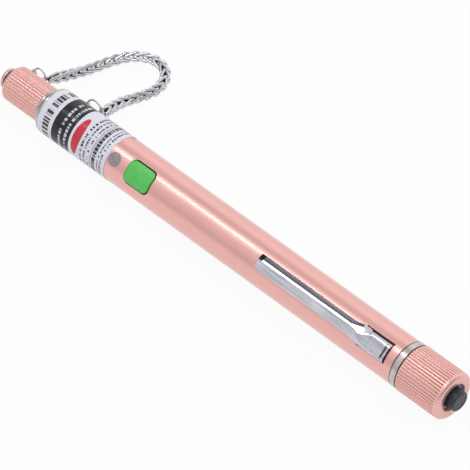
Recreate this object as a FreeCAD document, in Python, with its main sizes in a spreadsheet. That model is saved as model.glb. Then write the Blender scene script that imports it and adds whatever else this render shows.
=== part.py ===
import FreeCAD, Part
import math
import os
import re
import Sketcher

# Pen-type visual fault locator: a laser pen for tracing optical fibre, lying on its side.
# The pen's axis is X, from the fibre port (the origin, -X outwards) to the tail switch (+X).
# All sizes are in millimetres and degrees. Radii are measured from the pen's axis.

SIZES = {
    # Running and seating clearances.
    "seat_gap": 0.05,
    "running_gap": 0.08,
    "face_gap": 0.1,
    # Barrel tube.
    "barrel_radius": 7.0,
    "barrel_wall": 1.2,
    "barrel_bevel": 0.15,
    # Nose: a turned adapter with the neck that the dust cap fits over.
    "neck_radius": 4.4,
    "neck_length": 8.9,
    "neck_bevel": 0.4,
    "nose_length": 2.6,
    "nose_lip_radius": 5.55,
    "nose_lip_length": 0.7,
    "nose_bevel_length": 1.3,
    "nose_spigot_length": 4.0,
    # Ceramic split sleeve that takes a 2.5 mm ferrule.
    "ferrule_radius": 1.25,
    "sleeve_wall": 0.35,
    "sleeve_length": 10.0,
    "sleeve_slit": 0.4,
    # Laser module.
    "module_nose_radius": 3.4,
    "module_nose_length": 5.1,
    "module_gap": 0.2,
    "module_length": 8.4,
    "aperture_radius": 1.0,
    "aperture_length": 1.6,
    "lens_radius": 2.0,
    "lens_thickness": 1.7,
    "lens_dome_radius": 3.6,
    "lens_stop_radius": 1.5,
    "lens_stop_length": 0.8,
    "can_radius": 2.3,
    "can_length": 3.1,
    "diode_flange_radius": 2.8,
    "diode_flange_length": 1.2,
    "diode_pin_radius": 0.22,
    "diode_pin_length": 6.0,
    "diode_pin_circle": 1.27,
    # Controls: the window and the green button sit on one line round the barrel.
    "control_angle": 43.0,
    "board_gap": 0.95,
    "board_length": 28.4,
    "board_side_gap": 0.5,
    "board_thickness": 1.0,
    "carrier_wall": 1.2,
    "bulkhead_thickness": 1.4,
    "window_to_button": 9.7,
    "window_radius": 2.2,
    "led_length": 3.2,
    "led_width": 1.6,
    "led_height": 0.6,
    "led_dome_radius": 0.6,
    "button_to_board_end": 7.0,
    "button_length": 9.3,
    "button_width": 7.2,
    "button_corner": 1.7,
    "button_crown_rise": 0.45,
    "button_flange_margin": 0.6,
    "button_flange_thickness": 0.7,
    "button_flange_gap": 0.3,
    "button_travel": 0.4,
    "button_gap": 0.16,
    "switch_size": 6.0,
    "switch_height": 1.5,
    "plunger_stand": 0.5,
    "plunger_radius": 1.6,
    "plunger_depth": 0.9,
    # Batteries: two AAA cells in an insulating liner.
    "cell_gap": 0.2,
    "cell_length": 44.5,
    "cell_nub_radius": 1.9,
    "cell_nub_length": 0.9,
    "cell_edge": 0.5,
    "liner_wall": 0.35,
    "contact_radius": 3.2,
    "contact_thickness": 0.4,
    "contact_dimple_radius": 1.4,
    "contact_dimple_height": 0.3,
    # Pocket clip.
    "clip_angle": 39.0,
    "clip_length": 48.2,
    "clip_to_barrel_end": 3.0,
    "clip_base_length": 9.8,
    "clip_step_length": 2.6,
    "clip_tip_bevel": 1.9,
    "clip_width": 4.8,
    "clip_base_width": 5.6,
    "clip_sheet": 0.5,
    "clip_ridge": 1.1,
    "clip_ridge_offset": 0.4,
    "clip_lift_tip": 0.15,
    "clip_lift_root": 0.7,
    "clip_base_rise": 0.85,
    "clip_tray_margin": 1.1,
    "clip_window_gap": 0.35,
    # Wrap label.
    "label_start": 0.1,
    "label_to_window": 0.6,
    "label_thickness": 0.08,
    "label_gap_angle": 24.0,
    # Tail: plated coupling, knurled cap, click switch.
    "tail_ring_length": 2.3,
    "tail_ring_step": 0.1,
    "cell_stand": 1.6,
    "coupling_spigot": 5.0,
    "coupling_wall": 0.4,
    "thread_step": 0.4,
    "thread_length": 6.5,
    "thread_pitch": 1.0,
    "tail_cap_step": 0.2,
    "tail_cap_length": 15.1,
    "tail_cap_rounding": 1.3,
    "tail_cap_end_wall": 1.2,
    "tail_hole_radius": 4.3,
    "tail_flutes": 50,
    "tail_flute_width": 0.46,
    "tail_flute_depth": 0.28,
    "tail_plain_end": 1.0,
    "tail_cap_wall": 1.2,
    "retainer_length": 0.8,
    "switch_gap": 0.25,
    "switch_front_length": 3.3,
    "collar_thickness": 1.3,
    "tail_button_radius": 3.15,
    "tail_button_end_radius": 3.0,
    "tail_button_stand": 2.2,
    "tail_button_edge": 0.35,
    "tail_button_travel": 1.6,
    "tail_button_flange_radius": 3.8,
    "tail_button_flange": 1.0,
    "tail_spring_wire": 0.3,
    "tail_spring_base_radius": 3.6,
    "tail_spring_top_radius": 2.2,
    "tail_spring_turns": 4,
    # Dust cap.
    "dust_cap_radius": 5.4,
    "dust_cap_front": 5.2,
    "dust_cap_rounding": 1.1,
    "dust_cap_flutes": 36,
    "dust_flute_width": 0.5,
    "dust_flute_depth": 0.26,
    "dust_plain_end": 0.9,
    "cap_floor_gap": 0.6,
    "seal_thickness": 1.5,
    "seal_radius": 2.8,
    "plug_radius": 3.2,
    "plug_thickness": 0.95,
    "plug_edge": 0.2,
    "plug_stem_radius": 1.5,
    "plug_stem_length": 2.6,
    # Lanyard: eyes, jump rings and chain.
    "eye_stand": 1.0,
    "eye_radius": 0.55,
    "eye_rim": 0.55,
    "eye_thickness": 0.6,
    "stem_radius": 0.7,
    "stem_depth": 1.1,
    "cap_eye_place": -3.9,
    "barrel_eye_place": 16.05,
    "ring_wire_radius": 0.28,
    "cap_ring_radius": 2.42,
    "barrel_ring_radius": 2.95,
    "ring_lean": 17.5,
    "chain_wire_radius": 0.3,
    "chain_pitch": 2.95,
    "link_half_width": 1.41,
    "link_rise": 2.36,
    "link_fold": 157.0,
    "link_waist": 0.41,
    "link_loop": 1.18,
    "chain_twist_links": 10,
    "end_ring_radius": 1.3,
    "chain_floor_gap": 0.25,
    "chain_reach": 37.8,
}

# Radii, each worked out from the barrel's.
BORE = "(barrel_radius - barrel_wall)"
SPIGOT_RADIUS = f"({BORE} - seat_gap)"
CELL_RADIUS = f"({SPIGOT_RADIUS} - liner_wall - cell_gap)"
MODULE_RADIUS = f"({BORE} - module_gap)"
COUPLING_BORE = f"({SPIGOT_RADIUS} - coupling_wall)"
THREAD_RADIUS = f"({BORE} + thread_step)"
SWITCH_FRONT_RADIUS = f"({COUPLING_BORE} - switch_gap)"
TAIL_RING_RADIUS = "(barrel_radius + tail_ring_step)"
TAIL_CAP_RADIUS = "(barrel_radius + tail_cap_step)"
TAIL_BORE = f"({TAIL_CAP_RADIUS} - tail_cap_wall)"

# Places along X, each worked out from the lengths in front of it.
NOSE_BACK = "(neck_length + nose_length)"
MODULE_FRONT = "(sleeve_length + 4 * face_gap)"
MODULE_STEP = f"({MODULE_FRONT} + module_nose_length)"
MODULE_BACK = f"({MODULE_STEP} + module_length)"
LENS_BACK = f"({MODULE_STEP} + lens_stop_length)"
CAN_FRONT = f"({LENS_BACK} + lens_stop_length + face_gap)"
DIODE_SEAT = f"({CAN_FRONT} + can_length + seat_gap)"
BOARD_FRONT = f"({DIODE_SEAT} + diode_flange_length + diode_pin_length + board_gap)"
BOARD_BACK = f"({BOARD_FRONT} + board_length)"
BUTTON_PLACE = f"({BOARD_BACK} - button_to_board_end)"
WINDOW_PLACE = f"({BUTTON_PLACE} - window_to_button)"
CONTACT_FRONT = f"({BOARD_BACK} + bulkhead_thickness + face_gap)"
CELLS_FRONT = f"({CONTACT_FRONT} + contact_thickness + contact_dimple_height + seat_gap)"
CELLS_BACK = f"({CELLS_FRONT} + 2 * cell_length + seat_gap)"
BARREL_BACK = f"({CELLS_BACK} - cell_stand)"
RING_BACK = f"({BARREL_BACK} + tail_ring_length)"
CAP_BACK = f"({RING_BACK} + tail_cap_length)"
CLIP_END = f"({BARREL_BACK} - clip_to_barrel_end)"
COUPLING_FRONT = f"({BARREL_BACK} - coupling_spigot)"
THREAD_BACK = f"({RING_BACK} + thread_length)"
COLLAR_BACK = f"({CAP_BACK} - tail_cap_end_wall - seat_gap)"
COLLAR_FRONT = f"({COLLAR_BACK} - collar_thickness)"
SWITCH_SHOULDER = f"({THREAD_BACK} + face_gap + retainer_length + seat_gap)"
SWITCH_FRONT = f"({SWITCH_SHOULDER} - switch_front_length - retainer_length)"
BUTTON_FLANGE_BACK = f"({COLLAR_FRONT} - face_gap)"
BUTTON_FLANGE_FRONT = f"({BUTTON_FLANGE_BACK} - tail_button_flange)"

document = FreeCAD.newDocument("fault_locator")
sheet = document.addObject("Spreadsheet::Sheet", "dims")
for row, (name, size) in enumerate(SIZES.items(), start=1):
    sheet.set(f"A{row}", name)
    sheet.set(f"B{row}", str(size))
    sheet.setAlias(f"B{row}", name)
document.recompute()

pieces = []


def full(expression):
    """Names in an expression become cells of the sheet."""
    return re.sub(r"[a-z][a-z_]+", lambda m: f"dims.{m[0]}" if m[0] in SIZES else m[0], str(expression))


def number(expression):
    """The present value of an expression."""
    return float(sheet.evalExpression(full(expression)))


def bind(thing, **properties):
    """Each property follows an expression of the sheet's sizes; a double underscore stands for a dot."""
    for name, expression in properties.items():
        thing.setExpression(name.replace("__", "."), full(expression))


def kept(thing, label):
    """Names a finished sub-part and lists it for export."""
    thing.Label = label
    pieces.append(thing)
    return thing


def turn_about_x(thing, angle):
    """Swings a sub-part round the pen's axis."""
    thing.Placement = FreeCAD.Placement(FreeCAD.Vector(), FreeCAD.Rotation(FreeCAD.Vector(1, 0, 0), 1))
    bind(thing, Placement__Rotation__Angle=angle)
    return thing


# ---------------------------------------------------------------- PartDesign helpers


def sketch_in(body, role, angle=None, along=None):
    """A sketch on one of the body's own origin planes, swung about X by angle or set along X."""
    plane = next(f for f in body.Origin.OriginFeatures if f.Role == role)
    sketch = body.newObject("Sketcher::SketchObject", f"{body.Name}_outline")
    sketch.AttachmentSupport = (plane, [""])
    sketch.MapMode = "FlatFace"
    if angle is not None:
        sketch.AttachmentOffset = FreeCAD.Placement(
            FreeCAD.Vector(), FreeCAD.Rotation(FreeCAD.Vector(1, 0, 0), 1)
        )
        bind(sketch, AttachmentOffset__Rotation__Angle=angle)
    if along is not None:
        bind(sketch, AttachmentOffset__Base__z=along)
    return sketch


def arc_between(start, end, radius):
    """A counter-clockwise arc of the radius from one point to the other."""
    chord = end - start
    height = math.sqrt(max(radius**2 - (chord.Length / 2) ** 2, 0))
    left = FreeCAD.Vector(-chord.y, chord.x, 0).normalize()
    centre = (start + end) * 0.5 + left * height
    angles = [math.atan2(p.y - centre.y, p.x - centre.x) for p in (start, end)]
    circle = Part.Circle(centre, FreeCAD.Vector(0, 0, 1), radius)
    return Part.ArcOfCircle(circle, angles[0], angles[1])


def outline(sketch, corners):
    """A closed outline, counter-clockwise, of (x, y) or (x, y, radius of the arc that leaves it) corners."""
    points = [FreeCAD.Vector(number(c[0]), number(c[1]), 0) for c in corners]
    first = sketch.GeometryCount
    for i, corner in enumerate(corners):
        start, end = points[i], points[(i + 1) % len(points)]
        if len(corner) == 3:
            sketch.addGeometry(arc_between(start, end, number(corner[2])), False)
        else:
            sketch.addGeometry(Part.LineSegment(start, end), False)
    for i, corner in enumerate(corners):
        here, after = first + i, first + (i + 1) % len(points)
        sketch.addConstraint(Sketcher.Constraint("Coincident", here, 2, after, 1))
        for kind, expression, value in zip(("DistanceX", "DistanceY"), corner, points[i]):
            made = sketch.addConstraint(Sketcher.Constraint(kind, -1, 1, here, 1, value))
            sketch.setExpression(f"Constraints[{made}]", full(expression))
        if len(corner) == 3:
            made = sketch.addConstraint(Sketcher.Constraint("Radius", here, number(corner[2])))
            sketch.setExpression(f"Constraints[{made}]", full(corner[2]))


def circle(sketch, x, y, radius):
    """A circle whose centre and radius follow the sheet."""
    here = sketch.addGeometry(
        Part.Circle(FreeCAD.Vector(number(x), number(y), 0), FreeCAD.Vector(0, 0, 1), number(radius)), False
    )
    for kind, expression in (("DistanceX", x), ("DistanceY", y)):
        made = sketch.addConstraint(Sketcher.Constraint(kind, -1, 1, here, 3, number(expression)))
        sketch.setExpression(f"Constraints[{made}]", full(expression))
    made = sketch.addConstraint(Sketcher.Constraint("Radius", here, number(radius)))
    sketch.setExpression(f"Constraints[{made}]", full(radius))


def turned(label, corners):
    """A body turned about the pen's axis from a half section of (x, radius) corners."""
    body = kept(document.addObject("PartDesign::Body", label), label)
    sketch = sketch_in(body, "XZ_Plane")
    outline(sketch, corners)
    revolution = body.newObject("PartDesign::Revolution", f"{label}_turning")
    revolution.Profile = sketch
    revolution.ReferenceAxis = (sketch, ["H_Axis"])
    revolution.Angle = 360
    document.recompute()
    return body


def rounded_box(x, length, width, corner):
    """Corners of a rounded rectangle centred at x on the X axis."""
    hx, hy = f"({length}) / 2", f"({width}) / 2"
    left, right = f"{x} - {hx}", f"{x} + {hx}"
    return [
        (f"{left} + {corner}", f"-{hy}"),
        (f"{right} - {corner}", f"-{hy}", corner),
        (right, f"-{hy} + {corner}"),
        (right, f"{hy} - {corner}", corner),
        (f"{right} - {corner}", hy),
        (f"{left} + {corner}", hy, corner),
        (left, f"{hy} - {corner}"),
        (left, f"-{hy} + {corner}", corner),
    ]


def swept_block(body, sketch, height, kind="PartDesign::Pad", backwards=False):
    """A pad or pocket of a sketch; a pocket has to take material away."""
    before = body.Shape.Volume if body.Tip else 0
    feature = body.newObject(kind, f"{body.Name}_{kind.split('::')[1].lower()}")
    feature.Profile = sketch
    feature.Reversed = backwards
    bind(feature, Length=height)
    document.recompute()
    if kind.endswith("Pocket") and not body.Shape.Volume < before - 1e-3:
        raise RuntimeError(f"{body.Label}: a pocket cuts nothing")
    return feature


def fluted(body, start, length, radius, width, depth, count):
    """Straight V flutes round a turned body, each along X from start."""
    sketch = sketch_in(body, "YZ_Plane", along=start)
    outline(
        sketch,
        [
            ("0", f"{radius} - {depth}"),
            (f"{width} / 2", f"{radius}"),
            (f"{width} / 2", f"{radius} + {depth}"),
            (f"-{width} / 2", f"{radius} + {depth}"),
            (f"-{width} / 2", f"{radius}"),
        ],
    )
    flute = swept_block(body, sketch, length, "PartDesign::Pocket", backwards=True)
    pattern = body.newObject("PartDesign::PolarPattern", f"{body.Name}_knurl")
    pattern.Originals = [flute]
    pattern.Axis = (sketch, ["N_Axis"])
    pattern.Angle = 360
    bind(pattern, Occurrences=count)
    body.Tip = pattern
    document.recompute()


# ---------------------------------------------------------------- Part helpers


def primitive(kind, name, place=("0", "0", "0"), axis=None, **sizes):
    """A Part primitive at a place, with its axis along Z unless axis is X or Y."""
    thing = document.addObject(f"Part::{kind}", name)
    if axis:
        thing.Placement.Rotation = FreeCAD.Rotation(FreeCAD.Vector(0, 0, 1), FreeCAD.Vector(*axis))
    bind(thing, **sizes)
    bind(thing, Placement__Base__x=place[0], Placement__Base__y=place[1], Placement__Base__z=place[2])
    return thing


ALONG_X = (1, 0, 0)
ALONG_Y = (0, 1, 0)


def joined(kind, name, shapes):
    """A boolean of two or more Part shapes: Cut takes the second from the first."""
    if kind == "Cut":
        thing = document.addObject("Part::Cut", name)
        thing.Base, thing.Tool = shapes
    else:
        thing = document.addObject(f"Part::Multi{kind}", name)
        thing.Shapes = shapes
    document.recompute()
    return thing


def faceted_wire(points, radius, sides, closed):
    """A solid wire with flat facets that follows the points."""
    count = len(points)
    spans = [(points[(i + 1) % count] - points[i]) for i in range(count if closed else count - 1)]
    tangents = []
    for i in range(count):
        before = spans[i - 1] if closed or i > 0 else spans[0]
        after = spans[i % len(spans)] if closed or i < count - 1 else spans[-1]
        tangents.append((before.normalize() + after.normalize()).normalize())
    side = tangents[0].cross(FreeCAD.Vector(0.31, 0.42, 0.85)).normalize()
    sides_at = [side]
    for before, after in zip(tangents, tangents[1:] + tangents[:1]):
        turn = FreeCAD.Rotation(before, after)
        side = turn.multVec(side)
        sides_at.append(side)
    slip = 0.0
    if closed:
        other = tangents[0].cross(sides_at[0])
        slip = math.atan2(sides_at[-1].dot(other), sides_at[-1].dot(sides_at[0]))
    rows = []
    for i in range(count):
        back = FreeCAD.Rotation(tangents[i], math.degrees(-slip * i / count))
        first = back.multVec(sides_at[i])
        second = tangents[i].cross(first)
        for k in range(sides):
            turn = 2 * math.pi * k / sides
            rows.append(points[i] + (first * math.cos(turn) + second * math.sin(turn)) * radius)
    facets = []
    for i in range(count if closed else count - 1):
        for k in range(sides):
            a, b = i * sides + k, i * sides + (k + 1) % sides
            c, d = (a + sides) % len(rows), (b + sides) % len(rows)
            facets += [(a, b, d), (a, d, c)]
    if not closed:
        last = (count - 1) * sides
        for k in range(1, sides - 1):
            facets += [(0, k + 1, k), (last, last + k, last + k + 1)]
    shell = Part.Shape()
    shell.makeShapeFromMesh((rows, facets), 1e-5)
    solid = Part.Solid(shell.Shells[0] if shell.Shells else Part.Shell(shell.Faces))
    if solid.Volume < 0:
        solid.reverse()
    return solid


# ---------------------------------------------------------------- Barrel and nose


def make_barrel():
    body = turned(
        "barrel_tube",
        [
            (f"{NOSE_BACK}", BORE),
            (f"{BARREL_BACK}", BORE),
            (f"{BARREL_BACK}", "barrel_radius - barrel_bevel"),
            (f"{BARREL_BACK} - barrel_bevel", "barrel_radius"),
            (f"{NOSE_BACK} + barrel_bevel", "barrel_radius"),
            (f"{NOSE_BACK}", "barrel_radius - barrel_bevel"),
        ],
    )
    reach = "barrel_radius + 1"
    button = sketch_in(body, "XY_Plane", angle="control_angle")
    outline(button, rounded_box(BUTTON_PLACE, "button_length", "button_width", "button_corner"))
    swept_block(body, button, reach, "PartDesign::Pocket", backwards=True)
    window = sketch_in(body, "XY_Plane", angle="control_angle")
    circle(window, WINDOW_PLACE, "0", "window_radius + seat_gap")
    swept_block(body, window, reach, "PartDesign::Pocket", backwards=True)
    clip = sketch_in(body, "XY_Plane", angle="clip_angle")
    wide = "(clip_base_width / 2 + clip_window_gap)"
    front, back = f"({CLIP_END} - clip_base_length)", f"({CLIP_END} + clip_window_gap)"
    outline(clip, [(front, f"-{wide}"), (back, f"-{wide}"), (back, wide), (front, wide)])
    swept_block(body, clip, reach, "PartDesign::Pocket", backwards=True)
    eye = sketch_in(body, "XZ_Plane")
    circle(eye, "barrel_eye_place", "0", "stem_radius + seat_gap")
    swept_block(body, eye, reach, "PartDesign::Pocket")


def make_nose():
    sleeve_seat = "(ferrule_radius + sleeve_wall + seat_gap)"
    turned(
        "nose_adapter",
        [
            ("0", sleeve_seat),
            (f"{MODULE_FRONT} - face_gap", sleeve_seat),
            (f"{MODULE_FRONT} - face_gap", "module_nose_radius + running_gap"),
            (f"{NOSE_BACK} + nose_spigot_length", "module_nose_radius + running_gap"),
            (f"{NOSE_BACK} + nose_spigot_length", SPIGOT_RADIUS),
            (NOSE_BACK, SPIGOT_RADIUS),
            (NOSE_BACK, "barrel_radius"),
            ("neck_length + nose_lip_length + nose_bevel_length", "barrel_radius"),
            ("neck_length + nose_lip_length", "nose_lip_radius"),
            ("neck_length", "nose_lip_radius"),
            ("neck_length", "neck_radius"),
            ("neck_bevel", "neck_radius"),
            ("0", "neck_radius - neck_bevel"),
        ],
    )
    outer = "(ferrule_radius + sleeve_wall)"
    sleeve = turned(
        "ferrule_sleeve",
        [
            ("0", "ferrule_radius"),
            ("sleeve_length", "ferrule_radius"),
            ("sleeve_length", outer),
            ("0", outer),
        ],
    )
    slit = sketch_in(sleeve, "XY_Plane")
    half = "sleeve_slit / 2"
    outline(slit, [("0", f"-{half}"), ("sleeve_length", f"-{half}"), ("sleeve_length", half), ("0", half)])
    swept_block(sleeve, slit, "2 * ferrule_radius", "PartDesign::Pocket")


# ---------------------------------------------------------------- Laser module


def make_laser():
    turned(
        "laser_housing",
        [
            (MODULE_FRONT, "aperture_radius"),
            (f"{MODULE_FRONT} + aperture_length", "aperture_radius"),
            (f"{MODULE_FRONT} + aperture_length", "lens_radius + seat_gap"),
            (LENS_BACK, "lens_radius + seat_gap"),
            (LENS_BACK, "lens_stop_radius"),
            (f"{LENS_BACK} + lens_stop_length", "lens_stop_radius"),
            (f"{LENS_BACK} + lens_stop_length", "can_radius + face_gap"),
            (DIODE_SEAT, "can_radius + face_gap"),
            (DIODE_SEAT, "diode_flange_radius + seat_gap"),
            (MODULE_BACK, "diode_flange_radius + seat_gap"),
            (MODULE_BACK, MODULE_RADIUS),
            (MODULE_STEP, MODULE_RADIUS),
            (MODULE_STEP, "module_nose_radius"),
            (MODULE_FRONT, "module_nose_radius"),
        ],
    )
    rim = primitive(
        "Cylinder",
        "lens_rim",
        (f"{LENS_BACK} - seat_gap - lens_thickness", "0", "0"),
        ALONG_X,
        Radius="lens_radius",
        Height="lens_thickness",
    )
    dome = primitive(
        "Sphere",
        "lens_dome",
        (f"{LENS_BACK} - seat_gap - lens_thickness + lens_dome_radius", "0", "0"),
        Radius="lens_dome_radius",
    )
    kept(joined("Common", "collimator_lens", [rim, dome]), "collimator_lens")
    can = primitive(
        "Cylinder",
        "diode_can",
        (CAN_FRONT, "0", "0"),
        ALONG_X,
        Radius="can_radius",
        Height="can_length + seat_gap",
    )
    flange = primitive(
        "Cylinder",
        "diode_flange",
        (f"{DIODE_SEAT} + seat_gap", "0", "0"),
        ALONG_X,
        Radius="diode_flange_radius",
        Height="diode_flange_length",
    )
    bridge = primitive(
        "Cylinder", "diode_step", (DIODE_SEAT, "0", "0"), ALONG_X, Radius="can_radius", Height="2 * seat_gap"
    )
    pins = []
    for i, turn in enumerate((90, 210, 330)):
        pins.append(
            primitive(
                "Cylinder",
                f"diode_pin_{i}",
                (
                    f"{DIODE_SEAT} + diode_flange_length",
                    f"diode_pin_circle * cos({turn})",
                    f"diode_pin_circle * sin({turn})",
                ),
                ALONG_X,
                Radius="diode_pin_radius",
                Height="diode_pin_length",
            )
        )
    kept(joined("Fuse", "laser_diode", [can, flange, bridge] + pins), "laser_diode")


# ---------------------------------------------------------------- Controls, all in the control line's frame


# The button's flange rests inside the bore, and the switch and the board stand below it.
FLANGE_HALF = "(button_width / 2 + button_flange_margin)"
FLANGE_TOP = f"sqrt(({BORE} - button_flange_gap) ^ 2 - {FLANGE_HALF} ^ 2)"
BUTTON_FOOT = f"({FLANGE_TOP} - button_flange_thickness)"
SWITCH_TOP = f"({BUTTON_FOOT} - plunger_stand)"
BOARD_TOP = f"({SWITCH_TOP} - switch_height - seat_gap)"
BOARD_FOOT = f"({BOARD_TOP} - board_thickness)"


def make_board():
    inner = SPIGOT_RADIUS
    round_bar = primitive(
        "Cylinder", "carrier_bar", (BOARD_FRONT, "0", "0"), ALONG_X, Radius=inner, Height="board_length"
    )
    above = primitive(
        "Box",
        "carrier_above",
        (BOARD_FRONT, f"-{inner}", f"{BOARD_FOOT} - seat_gap"),
        Length="board_length",
        Width=f"2 * {inner}",
        Height=f"2 * {inner}",
    )
    half = joined("Cut", "carrier_half", [round_bar, above])
    well = primitive(
        "Cylinder",
        "carrier_well",
        (f"{BOARD_FRONT} + carrier_wall", "0", "0"),
        ALONG_X,
        Radius=f"{inner} - carrier_wall",
        Height="board_length - 2 * carrier_wall",
    )
    tray = joined("Cut", "carrier_tray", [half, well])
    bulkhead = primitive(
        "Cylinder",
        "carrier_bulkhead",
        (BOARD_BACK, "0", "0"),
        ALONG_X,
        Radius=inner,
        Height="bulkhead_thickness",
    )
    turn_about_x(kept(joined("Fuse", "board_carrier", [tray, bulkhead]), "board_carrier"), "control_angle")

    board = kept(document.addObject("PartDesign::Body", "circuit_board"), "circuit_board")
    sketch = sketch_in(board, "XY_Plane", along=BOARD_FOOT)
    centre = f"{BOARD_FRONT} + board_length / 2"
    wide = f"2 * ({BORE} - board_side_gap)"
    outline(sketch, rounded_box(centre, "board_length - 2 * face_gap", wide, "board_thickness"))
    swept_block(board, sketch, "board_thickness")
    turn_about_x(board, "control_angle")

    base = primitive(
        "Box",
        "led_base",
        (f"{WINDOW_PLACE} - led_length / 2", "-led_width / 2", f"{BOARD_TOP} + seat_gap"),
        Length="led_length",
        Width="led_width",
        Height="led_height",
    )
    dome = primitive(
        "Sphere",
        "led_dome",
        (WINDOW_PLACE, "0", f"{BOARD_TOP} + seat_gap + led_height"),
        Radius="led_dome_radius",
    )
    turn_about_x(kept(joined("Fuse", "indicator_led", [base, dome]), "indicator_led"), "control_angle")


def make_window():
    pipe = primitive(
        "Cylinder",
        "window_pipe",
        (WINDOW_PLACE, "0", f"{BOARD_TOP} + led_height + led_dome_radius + 3 * face_gap"),
        Radius="window_radius",
        Height="barrel_radius",
    )
    skin = primitive(
        "Cylinder",
        "window_skin",
        (f"{WINDOW_PLACE} - 2 * window_radius", "0", "0"),
        ALONG_X,
        Radius="barrel_radius",
        Height="4 * window_radius",
    )
    window = kept(joined("Common", "indicator_window", [pipe, skin]), "indicator_window")
    turn_about_x(window, "control_angle")


def make_mode_switch():
    body = kept(document.addObject("PartDesign::Body", "mode_switch"), "mode_switch")
    sketch = sketch_in(body, "XY_Plane", along=f"{BOARD_TOP} + seat_gap")
    outline(sketch, rounded_box(BUTTON_PLACE, "switch_size", "switch_size", "button_gap"))
    swept_block(body, sketch, "switch_height")
    well = sketch_in(body, "XY_Plane", along=SWITCH_TOP)
    circle(well, BUTTON_PLACE, "0", "plunger_radius + running_gap")
    swept_block(body, well, "plunger_depth", "PartDesign::Pocket")
    turn_about_x(body, "control_angle")

    plunger = kept(document.addObject("PartDesign::Body", "switch_plunger"), "switch_plunger")
    low = f"({SWITCH_TOP} - plunger_depth + button_travel + face_gap)"
    sketch = sketch_in(plunger, "XY_Plane", along=low)
    circle(sketch, BUTTON_PLACE, "0", "plunger_radius")
    swept_block(plunger, sketch, f"{BUTTON_FOOT} - seat_gap - {low}")
    turn_about_x(plunger, "control_angle")


def make_mode_button():
    cap = document.addObject("PartDesign::Body", "button_cap")
    sketch = sketch_in(cap, "XY_Plane", along=BUTTON_FOOT)
    outline(
        sketch,
        rounded_box(
            BUTTON_PLACE,
            "button_length - 2 * button_gap",
            "button_width - 2 * button_gap",
            "(button_corner - button_gap)",
        ),
    )
    swept_block(cap, sketch, "barrel_radius")
    flange = sketch_in(cap, "XY_Plane", along=BUTTON_FOOT)
    outline(
        flange,
        rounded_box(
            BUTTON_PLACE,
            "button_length + 2 * button_flange_margin",
            "button_width + 2 * button_flange_margin",
            "button_corner",
        ),
    )
    swept_block(cap, flange, "button_flange_thickness")
    crown = primitive(
        "Cylinder",
        "button_crown",
        (f"{BUTTON_PLACE} - button_length", "0", "0"),
        ALONG_X,
        Radius="barrel_radius + button_crown_rise",
        Height="2 * button_length",
    )
    blank = joined("Common", "button_blank", [cap, crown])
    rounded = document.addObject("Part::Fillet", "mode_button")
    rounded.Base = blank
    radius = number("button_gap") * 2
    edges = []
    for i, edge in enumerate(blank.Shape.Edges, start=1):
        box = edge.BoundBox
        if box.ZMin > number("0.8 * barrel_radius"):
            edges.append((i, radius, radius))
    rounded.Edges = edges
    turn_about_x(kept(rounded, "mode_button"), "control_angle")
    document.recompute()


# ---------------------------------------------------------------- Batteries


def make_cells():
    liner_inner = f"({SPIGOT_RADIUS} - liner_wall)"
    liner_outer = SPIGOT_RADIUS
    liner_front, liner_back = f"({CONTACT_FRONT} + contact_thickness)", f"({COUPLING_FRONT} - face_gap)"
    turned(
        "battery_liner",
        [
            (liner_front, liner_inner),
            (liner_back, liner_inner),
            (liner_back, liner_outer),
            (liner_front, liner_outer),
        ],
    )
    face = f"{CONTACT_FRONT} + contact_thickness"
    turned(
        "front_contact",
        [
            (CONTACT_FRONT, "0"),
            (f"{face} + contact_dimple_height", "0"),
            (f"{face} + contact_dimple_height", "contact_dimple_radius - contact_dimple_height"),
            (face, "contact_dimple_radius"),
            (face, "contact_radius"),
            (CONTACT_FRONT, "contact_radius"),
        ],
    )
    for i, label in enumerate(("front_battery", "rear_battery")):
        start = f"({CELLS_FRONT} + {i} * (cell_length + seat_gap))"
        turned(
            label,
            [
                (start, "0"),
                (f"{start} + cell_length", "0"),
                (f"{start} + cell_length", f"{CELL_RADIUS} - cell_edge"),
                (f"{start} + cell_length - cell_edge", CELL_RADIUS),
                (f"{start} + cell_nub_length + cell_edge", CELL_RADIUS),
                (f"{start} + cell_nub_length", f"{CELL_RADIUS} - cell_edge"),
                (f"{start} + cell_nub_length", "cell_nub_radius"),
                (start, "cell_nub_radius"),
            ],
        )


# ---------------------------------------------------------------- Pocket clip


def clip_section(x, half_width, ridge, edge_height, ridge_height, sheet_thickness):
    """One closed section of the folded sheet: its outer face, then its inner face back."""
    low, high = ridge
    inner_half = half_width - sheet_thickness
    outer = [(-half_width, edge_height), (low, ridge_height), (high, ridge_height)]
    outer.append((half_width, edge_height))
    inner = [(inner_half, edge_height), (high, ridge_height - sheet_thickness)]
    inner += [(low, ridge_height - sheet_thickness), (-inner_half, edge_height)]
    points = [FreeCAD.Vector(x, y, z) for y, z in outer + inner]
    return Part.Wire(Part.makePolygon(points + points[:1]))


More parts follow.
